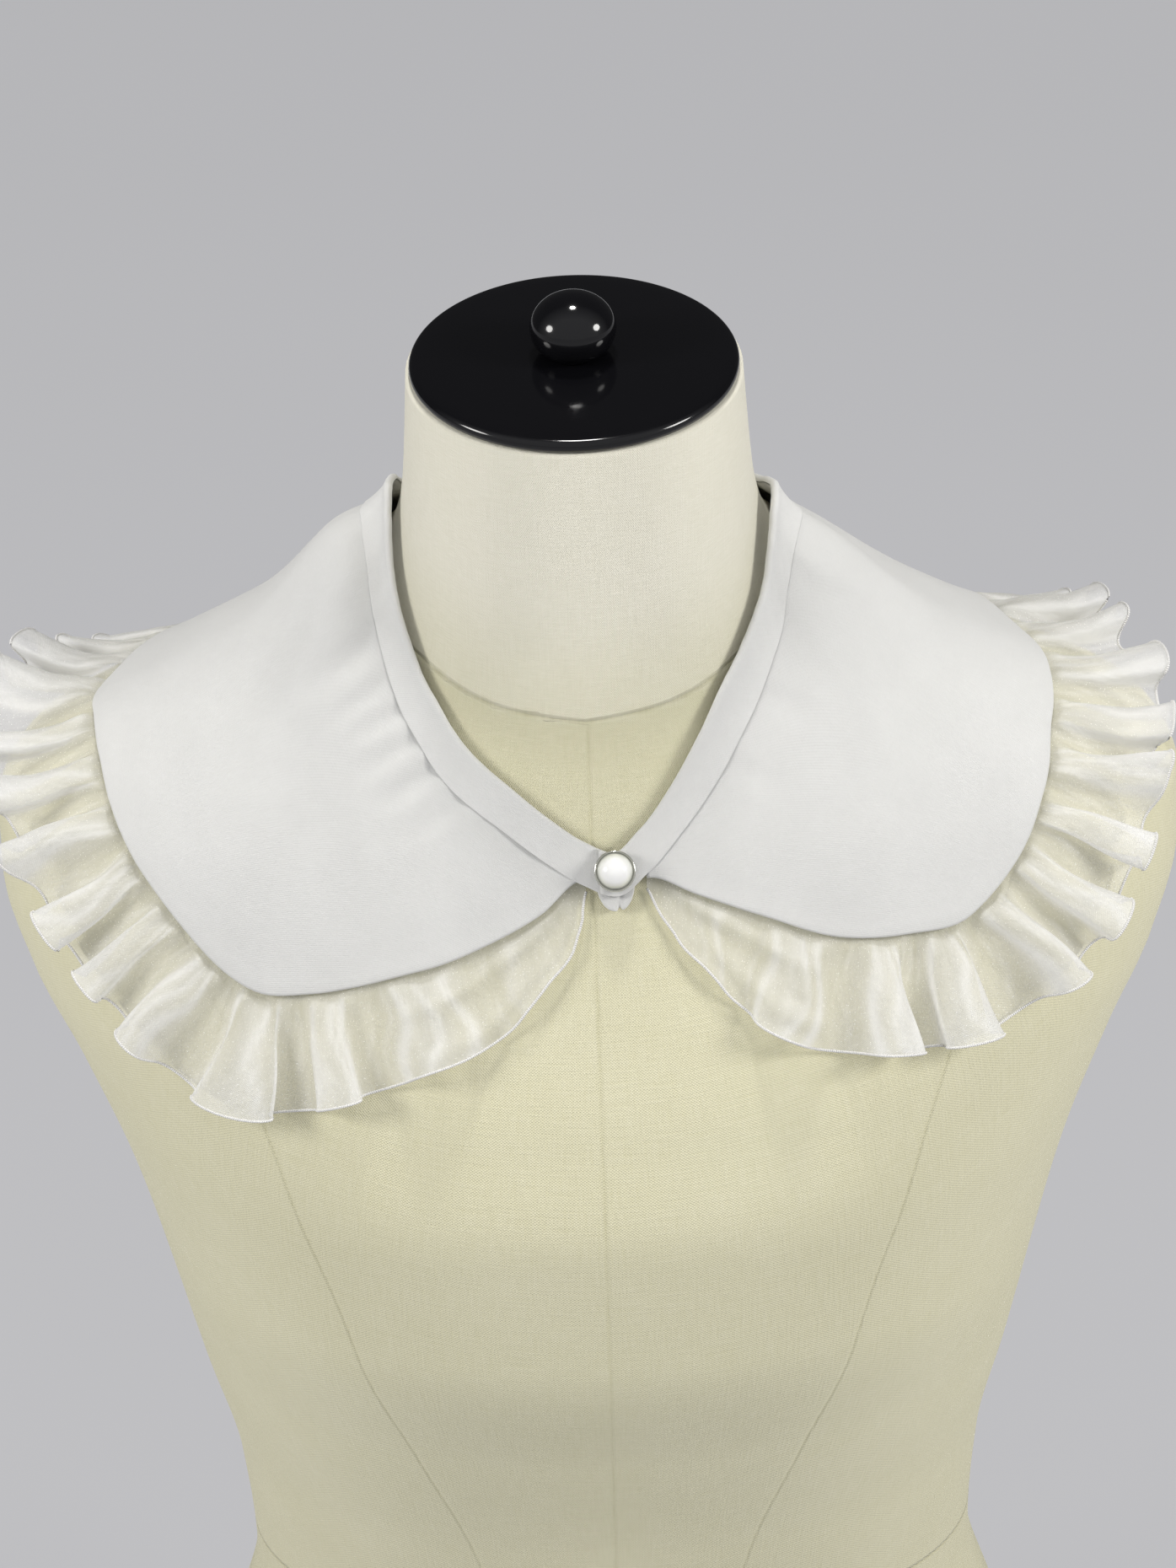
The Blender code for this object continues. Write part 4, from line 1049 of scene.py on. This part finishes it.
def collar_cloth(look):
    start = MIDDLE + LEAF_START
    degrees = np.linspace(start, start + 360 - 2 * LEAF_START, COLLAR_COLUMNS + 1)
    depth = collar_row(degrees)[1]
    half = COLLAR_WALL / 2
    share = np.linspace(0, 1, FACE_ROWS + 1)[:, None]
    share = share + ROW_CROWDING * np.sin(2 * np.pi * share)
    rows = []
    near = half + EDGE_SWELL
    for side in (1, -1):
        down = (depth - near)[None, :] * share
        swell = EDGE_SWELL * np.exp(-((depth - down) / SWELL_REACH) ** 2)
        lift = collar_lift(degrees, down) + soft_relief(degrees[None, :], down)
        face = collar_line(np.broadcast_to(degrees, down.shape), down, lift + side * (half + swell))
        rows.append(face if side > 0 else face[::-1])
    bend = []
    for a in np.linspace(0, np.pi, EDGE_POINTS + 2)[1:-1]:
        down = depth - near + near * math.sin(a)
        lift = collar_lift(degrees, depth) + soft_relief(degrees, depth)
        bend.append(collar_line(degrees, down, lift + (half + EDGE_SWELL) * math.cos(a)))
    points = np.concatenate([rows[0], np.array(bend), rows[1]])
    u, v = metres_across(points, round_rows=True)
    made = grid_object("collar_cloth", points.transpose(1, 0, 2), look, u.T, v.T, round_columns=True,
                       ends=("first", "last"))
    return stand_for(made, "collar_body")


def band_lift(degrees, down):
    on_collar = collar_lift(degrees, np.maximum(down, 0)) + BAND_OVER_COLLAR
    from_left = (360 + MIDDLE + BAND_CROSS - degrees) / END_TAPER
    from_right = (degrees - (MIDDLE - BAND_CROSS)) / END_TAPER
    lift = on_collar + (LEFT_END_LIFT - on_collar) * (1 - ease(from_left))
    return lift + (RIGHT_END_LIFT - on_collar) * (1 - ease(from_right))


def edge_slant(degrees):
    """How much longer the way down at an angle is than the way square to the neck edge."""
    ahead = collar_row(degrees + SLANT_REACH)[0]
    behind = collar_row(degrees - SLANT_REACH)[0]
    rise = (ahead - behind) / math.radians(2 * SLANT_REACH)
    return np.minimum(np.hypot(1.0, rise / NECK_RADIUS), SLANT_MOST)


def neck_band(look):
    """Folded strip over the neck edge, softly rounded where it turns."""
    degrees = np.linspace(MIDDLE - BAND_CROSS, 360 + MIDDLE + BAND_CROSS, BAND_COLUMNS + 1)
    half = BAND_WALL / 2
    edge = SEAM_GAP + BAND_WALL
    lip = COLLAR_WALL + SEAM_GAP

    def face(share, side):
        return share, 0.0, BAND_SINK * share ** 2 + side * (half - BAND_THINS * share ** 2)

    section = [face(share, math.sin(a)) for share, a in BAND_EDGE]
    section += [face(share, 1) for share in np.linspace(0.95, 0.10, 12)]
    fold = half + lip / 2
    section += [(0.0, -edge * math.sin(a), half - fold + fold * math.cos(a))
                for a in np.linspace(0.0, np.pi, 14)]
    section += [(0.0, -SEAM_GAP - LIP_STEP, -half - lip)]
    section += [(0.0, -SEAM_GAP, -half - lip / 2), (0.0, -SEAM_GAP, -half)]
    section += [face(share, -1) for share in np.linspace(0.10, 0.95, 8)]
    wrapped = (degrees + 180) % 360 - 180
    gape = sum(high * np.exp(-((wrapped - at) / reach) ** 2) for at, reach, high in BAND_GAPES)
    waves, turn, high = BAND_PULL
    loops = []
    for share, down, out in section:
        at = band_width(degrees) * share + down * edge_slant(degrees)
        pull = high * np.sin(np.radians(degrees) * waves + share * turn)
        lift = band_lift(degrees, at) + out + gape * share ** 3 + pull
        loops.append(collar_line(degrees, at, lift))
    points = np.array(loops)
    u, v = metres_across(points, round_rows=True)
    made = grid_object("neck_band", points.transpose(1, 0, 2), look, u.T, v.T, round_columns=True,
                       ends=("first", "last"))
    return stand_for(made, "neck_binding")


def front_frame(down, lift):
    at = collar_line(np.array([MIDDLE]), np.array([down]), np.array([lift]))[0]
    upper = collar_line(np.array([MIDDLE]), np.array([down - UP_STEP]), np.array([lift]))[0]
    n = Vector(outward(math.radians(MIDDLE), at[2]))
    up = Vector(upper - at)
    up = (up - up.dot(n) * n).normalized()
    turn = Matrix((up.cross(n), up, n)).transposed().to_4x4()
    return Matrix.Translation(Vector(at)) @ turn


def button(metal, pearl):
    place = front_frame(BUTTON_DROP, RIGHT_END_LIFT + BAND_WALL / 2 + GAP)
    inner = PEARL_RADIUS + GAP / 2
    lip = (BUTTON_RADIUS - inner) / 2
    profile = [(0.0, RIM_FLOOR), (inner, RIM_FLOOR), (inner, RIM_HEIGHT - lip)]
    profile += arc((BUTTON_RADIUS - lip, RIM_HEIGHT - lip), lip, 170, 0, 10)
    profile += [(BUTTON_RADIUS, 0.0008), (BUTTON_RADIUS - 0.0005, 0.0002), (BUTTON_RADIUS - 0.0012, 0.0)]
    profile.append((0.0, 0.0))
    rim = turned("button_setting", profile, 96, metal, place)
    stand_for(rim, "button_rim")
    low = RIM_FLOOR + GAP
    dome = [(PEARL_RADIUS * math.cos(a), low + PEARL_HEIGHT * math.sin(a))
            for a in np.radians(np.linspace(88, 0, 32))]
    profile = [(0.0, low + PEARL_HEIGHT)] + dome + [(0.0, low)]
    stone = turned("button_stone", profile, 96, pearl, place)
    inward = place.inverted()
    # Height on the pearl, which sets its painted reflection and shade
    add_values(stone, "rise", [((inward @ v.co).z - low) / PEARL_HEIGHT for v in stone.data.vertices])
    stand_for(stone, "button_pearl")


def tab(look):
    """Folded end of the neck strip, seen under the button with two soft lobes."""
    columns, rows = TAB_GRID
    side, drop = np.meshgrid(np.linspace(-1, 1, columns), np.linspace(0, 1, rows))
    at, half, depth = TAB_NOTCH
    rounding = TAB_ROUNDING * np.abs(side) ** TAB_CORNER_POWER
    length = (TAB_BOTTOM - TAB_TOP) * (1 - depth * np.exp(-((side - at) / half) ** 2) - rounding)
    down = TAB_TOP + length * drop
    half_width = TAB_WIDTH / 2 * (1 - TAB_NARROWING * drop)
    degrees = MIDDLE + np.degrees(side * half_width / FRONT_RADIUS)
    puff = TAB_PUFF * drop * np.sqrt(np.clip(1 - side ** 2, 0, 1))
    half, depth = TAB_CREASE
    crease = depth * drop * np.exp(-((side - at) / half) ** 2)
    at, slant, half, depth = TAB_SIDE_CREASE
    crease = crease + depth * np.exp(-((side - at - slant * drop) / half) ** 2) * drop * (1 - drop)
    edge = np.clip(np.minimum(1 - np.abs(side), 1 - drop) * TAB_EDGE, 0, 1)
    thick = BAND_WALL / 2 * np.sqrt(np.clip(1 - (1 - edge) ** 2, TAB_THIN, 1))
    middle = TAB_LIFT + puff - crease
    top = collar_line(degrees, down, middle + thick)
    under = collar_line(degrees, down, middle - thick)
    made = shell_of("tab_cloth", top, under, look)
    return stand_for(made, "button_tab")


def shell_of(name, top, under, look):
    """Closed cloth from an upper and an under face over the same grid."""
    rows, columns = top.shape[:2]
    index = np.arange(rows * columns).reshape(rows, columns)
    points = np.concatenate([top.reshape(-1, 3), under.reshape(-1, 3)]).tolist()
    other = rows * columns          # from a point of the top to the one under it
    faces = []
    for i in range(rows - 1):
        for j in range(columns - 1):
            a, b, c, d = index[i, j], index[i + 1, j], index[i + 1, j + 1], index[i, j + 1]
            faces.append((a, b, c, d))
            faces.append((d + other, c + other, b + other, a + other))
    border = list(index[0]) + list(index[1:, -1]) + list(index[-1, -2::-1]) + list(index[-2:0:-1, 0])
    for a, b in zip(border, border[1:] + border[:1]):
        faces.append((a, b, b + other, a + other))
    u, v = metres_across(top)
    mesh = bpy.data.meshes.new(name)
    mesh.from_pydata(points, [], [tuple(int(x) for x in f) for f in faces])
    layer = mesh.uv_layers.new(name="cloth")
    place = np.concatenate([np.stack([u, v], -1).reshape(-1, 2)] * 2)
    for loop, spot in zip(mesh.loops, layer.data):
        spot.uv = place[loop.vertex_index]
    return smooth_object(name, mesh, look)


# Making the ruffle

def outer_edge():
    start = MIDDLE - LEAF_START
    degrees = np.linspace(start, start - (360 - 2 * LEAF_START), EDGE_SAMPLES)
    points = collar_line(degrees, collar_row(degrees)[1], np.full(degrees.shape, RUFFLE_LIFT))
    run = np.concatenate([[0], np.cumsum(np.linalg.norm(np.diff(points, axis=0), axis=1))])
    return points, run


def fold_places(length):
    """Lengths along the edge, evenly spaced in the folds' own count."""
    share = np.linspace(0, 1, SPACING_SAMPLES)
    folds = through(WAVES, share)[:, 0]
    starts, goes_on, rate, part = UNEVEN_SPACING
    behind = np.sin(np.pi * np.clip((share - starts) / goes_on, 0, 1))
    folds = folds + part * behind * np.sin(rate * folds)
    steps = np.linspace(0, WAVES[-1][1], WAVES[-1][1] * POINTS_PER_FOLD + 1)
    return np.interp(steps, folds, share) * length, steps


def ruffle_points(edge, run, out_share, along, fold):
    """Sheet of the ruffle: a distance out from the collar's edge, a length along the edge."""
    length = run[-1]
    at, ahead, behind = [
        np.stack([np.interp(along + reach, run, edge[:, k]) for k in range(3)], -1)
        for reach in (0.0, EDGE_REACH, -EDGE_REACH)
    ]
    tangent = unit(ahead - behind)
    _, n = height_above(at)
    out = unit(np.cross(n, tangent))
    to_end = np.minimum(along, length - along)
    away = np.where(along < length / 2, 1.0, -1.0)
    lean = CORNER_LEAN * ease(to_end / LEAN_START) * (1 - ease(to_end / LEAN_RUN)) * away
    out = unit(out + tangent * lean[..., None])
    round_off = np.sin(np.pi / 2 * np.clip(to_end / RUFFLE_CORNER, 0, 1)) ** CORNER_POWER
    waves = through(WAVES, along / length)
    kept = np.maximum(round_off, CORNER_WIDTH) * waves[..., 4]
    width = np.where(out_share > 0, out_share * kept, out_share)
    sag = waves[..., 2] * (np.maximum(width, 0) / RUFFLE_WIDTH) ** 2
    free = at + out * width[..., None] - n * sag[..., None]
    free_height, _ = height_above(free)
    part = np.clip((width - WAVE_START) / (RUFFLE_WIDTH - WAVE_START), 0, 1)
    power, first = FOLD_GROWTH
    grown = part ** power * ease(part / first)
    half = waves[..., 1] * grown
    half = half * (1 + sum(by * np.sin(rate * fold + start) for rate, start, by in UNEVEN_HEIGHT))
    near_seam = np.sin(np.pi * np.clip(width / GATHER_REACH, 0, 1) ** 0.5) ** 2
    first, more = GATHER_FOLDS
    gathers = GATHER_HEIGHT * near_seam * ease((waves[..., 1] - first) / more)
    middle = np.maximum(free_height, RUFFLE_LIFT + HEM_CLEAR * grown + half + gathers / 2)
    middle = np.where(width < WAVE_START, RUFFLE_LIFT, middle)
    crest = -np.cos(2 * np.pi * fold)
    rate, start, by = UNEVEN_OVER
    over = FOLD_OVER * (1 + by * np.sin(rate * fold + start))
    over = over * np.minimum(waves[..., 1] / FULL_FOLD, 1) ** 2
    rate, start, turn, far = WANDER
    wander = far * np.sin(rate * fold + start + turn * part) * np.sin(np.pi * part)
    side = over * grown * np.sin(4 * np.pi * fold) + waves[..., 3] * grown * crest
    side = side + wander * ease(half / WANDER_FULL)
    height = middle + half * crest - gathers * np.cos(4 * np.pi * fold + GATHER_TURN)
    height = height + crease_rise(along, width, round_off, length)
    return set_height(free + unit(tangent) * side[..., None], height)


def crease_rise(along, width, round_off, length):
    """Height of the long creases, each a soft ridge between two places of the strip."""
    rise = np.zeros(width.shape)
    for share_a, out_a, share_b, out_b, spread, high in LONG_CREASES:
        if abs(share_b - share_a) < CREASE_ACROSS:
            gone = np.clip((width - out_a) / (out_b - out_a), 0, 1)
            away = along - (share_a + (share_b - share_a) * gone) * length
        else:
            gone = np.clip((along / length - share_a) / (share_b - share_a), 0, 1)
            away = width - (out_a + (out_b - out_a) * gone) * np.maximum(round_off, CREASE_CORNER)
        fade = np.sin(np.pi * gone) ** CREASE_POWER
        rise = rise + high * fade * np.exp(-(away / spread) ** 2)
    return rise


def ruffle_cover(points, out_share, along, fold):
    """Share of light that the strip stops: more on steep stretches, with painted highlights on the
    crests and on lines partly where the cloth doubles.
    """
    drift, by_fold, by_line, by_width, turn = PLEAT_DRIFT
    pleat_and_highlight = np.zeros(fold.shape)
    for middle, spread, weight in PLEAT_AND_HIGHLIGHT_LINES:
        shift = np.sin(by_fold * np.floor(fold) + by_line * middle)
        shift = shift + np.sin(out_share * by_width + turn * fold)
        away = (fold - middle - drift * shift + 0.5) % 1 - 0.5
        pleat_and_highlight = pleat_and_highlight + weight * np.exp(-(away / spread) ** 2)
    from_left, from_right = COVER_FADE
    reach = ease(out_share / RIDGE_REACH) * ease(along / from_left) * ease((1 - along) / from_right)
    # Painted highlights on the crests and along the lines at the folds' sides
    ridge = (1 - np.cos(2 * np.pi * fold)) / 2
    cover = SHEER_COVER + reach * (CREST_HIGHLIGHT_COVER * ridge ** 3 + PLEAT_AND_HIGHLIGHT_COVER * np.minimum(pleat_and_highlight, 1))
    facing = unit(np.cross(np.gradient(points, axis=0), np.gradient(points, axis=1)))
    level = np.clip(np.abs(np.sum(facing * height_above(points)[1], -1)), STEEPEST, 1.0)
    return 1 - (1 - np.minimum(cover, DENSEST)) ** (1 / level)


def ruffle(sheer, thread):
    edge, run = outer_edge()
    along, fold = fold_places(run[-1])
    widths = np.concatenate([[-RUFFLE_TUCK], RUFFLE_WIDTH * np.linspace(0, 1, RUFFLE_ROWS) ** ROW_POWER])
    out_share, along = np.meshgrid(widths, along, indexing="ij")
    fold = np.broadcast_to(fold, along.shape)
    points = ruffle_points(edge, run, out_share, along, fold)
    u, v = metres_across(points)
    made = grid_object("ruffle_sheer", points, sheer, u, v)
    add_values(made, "cover_and_highlights", ruffle_cover(points, out_share, along / run[-1], fold))
    stand_for(made, "ruffle")
    hem = tube("ruffle_hem", points[-1], HEM_RADIUS, HEM_SIDES, thread)
    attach(hem, "root")
    return made, hem


def tube(name, line, size, sides, look):
    """Round cord along a line of points, closed at both ends."""
    tangent = unit(np.gradient(line, axis=0))
    _, n = height_above(line)
    side = unit(np.cross(tangent, n))
    up = np.cross(side, tangent)
    rings = []
    for a in np.arange(sides) * 2 * np.pi / sides:
        rings.append(line + side * size * math.cos(a) + up * size * math.sin(a))
    points = np.array(rings).transpose(1, 0, 2)
    u, v = metres_across(np.array(rings), round_rows=True)
    return grid_object(name, points, look, u.T, v.T, round_columns=True, ends=("first", "last"))


# Making the room

def backdrop():
    """Pale dome behind the floor's far edge, seen by the camera alone and lighting nothing."""
    turns = np.arange(DOME_COLUMNS) * 2 * np.pi / DOME_COLUMNS
    rises = np.radians(np.linspace(-2, 88, DOME_ROWS))[:, None]
    level = np.cos(rises)
    points = np.stack([level * np.sin(turns), level * np.cos(turns), np.sin(rises) + 0 * turns], -1)
    look = Look("studio_backdrop")
    look.set(Base_Color=(0.0, 0.0, 0.0, 1.0), Roughness=1.0, Specular_IOR_Level=0.0,
             Emission_Color=PALE, Emission_Strength=DOME_TONE)
    dome = grid_object("backdrop", points * DOME_RADIUS, look.material, round_columns=True,
                       ends=("last",))
    for rays in ("diffuse", "glossy", "transmission", "volume_scatter", "shadow"):
        setattr(dome, "visible_" + rays, False)


def studio():
    scene = bpy.context.scene
    corners = [(x * FLOOR_SIZE, y * FLOOR_SIZE, 0) for x, y in ((-1, -1), (1, -1), (1, 1), (-1, 1))]
    mesh = bpy.data.meshes.new("floor")
    mesh.from_pydata(corners, [], [(0, 1, 2, 3)])
    mesh.materials.append(floor_look())
    floor = bpy.data.objects.new("floor", mesh)
    scene.collection.objects.link(floor)
    backdrop()

    world = bpy.data.worlds.new("soft_room")
    scene.world = world
    world.use_nodes = True
    tree = world.node_tree
    heading = tree.nodes.new("ShaderNodeSeparateXYZ")
    tree.links.new(tree.nodes.new("ShaderNodeTexCoord").outputs["Generated"], heading.inputs[0])
    wall = tree.nodes.new("ShaderNodeMapRange")
    for name, value in zip(("From Min", "From Max"), ROOM_TURN):
        wall.inputs[name].default_value = value
    wall.inputs["To Min"].default_value = ROOM_BEHIND
    wall.inputs["To Max"].default_value = ROOM_AHEAD
    tree.links.new(heading.outputs["Y"], wall.inputs["Value"])
    room = tree.nodes["Background"]
    room.inputs["Color"].default_value = ROOM_LIGHT
    tree.links.new(wall.outputs["Result"], room.inputs["Strength"])

    for name, place, width, power in LAMPS:
        lamp = bpy.data.lights.new(name, "AREA")
        lamp.shape = "DISK"
        lamp.size = width
        lamp.energy = power
        lamp.color = LAMP_COLOUR
        held = bpy.data.objects.new(name, lamp)
        held.location = place
        held.rotation_mode = "QUATERNION"
        held.rotation_quaternion = (Vector(LAMP_AIM) - Vector(place)).to_track_quat("-Z", "Y")
        scene.collection.objects.link(held)

    scene.view_settings.view_transform = "Standard"
    scene.view_settings.look = "None"


def camera():
    back = Vector((0.0, -math.cos(CAMERA_UP), math.sin(CAMERA_UP)))
    right = Vector((1.0, 0.0, 0.0))
    up = back.cross(right)
    across = right * math.cos(CAMERA_ROLL) - up * math.sin(CAMERA_ROLL)
    upright = right * math.sin(CAMERA_ROLL) + up * math.cos(CAMERA_ROLL)
    lens = bpy.data.cameras.new("camera")
    lens.sensor_width, lens.lens = CAMERA_LENS
    held = bpy.data.objects.new("camera", lens)
    turn = Matrix((across, upright, back)).transposed().to_4x4()
    held.matrix_world = Matrix.Translation(Vector(CAMERA_AIM) + back * CAMERA_AWAY) @ turn
    bpy.context.scene.collection.objects.link(held)
    bpy.context.scene.camera = held


def main():
    cotton = cotton_look("shirt_cotton", (0.70, 0.70, 0.685), (0.645, 0.645, 0.63))
    band = cotton_look("band_cotton", (0.735, 0.735, 0.72), (0.68, 0.68, 0.665))
    cover = form_cover(linen_look())
    form_board(wood_look())
    black = black_look()
    form_cap(black)
    form_knob(black)
    collar = collar_cloth(cotton)
    strip = neck_band(band)
    end = tab(band)
    button(metal_look(), pearl_look())
    sheer, hem = ruffle(organza_look(), hem_look())
    studio()
    camera()


main()
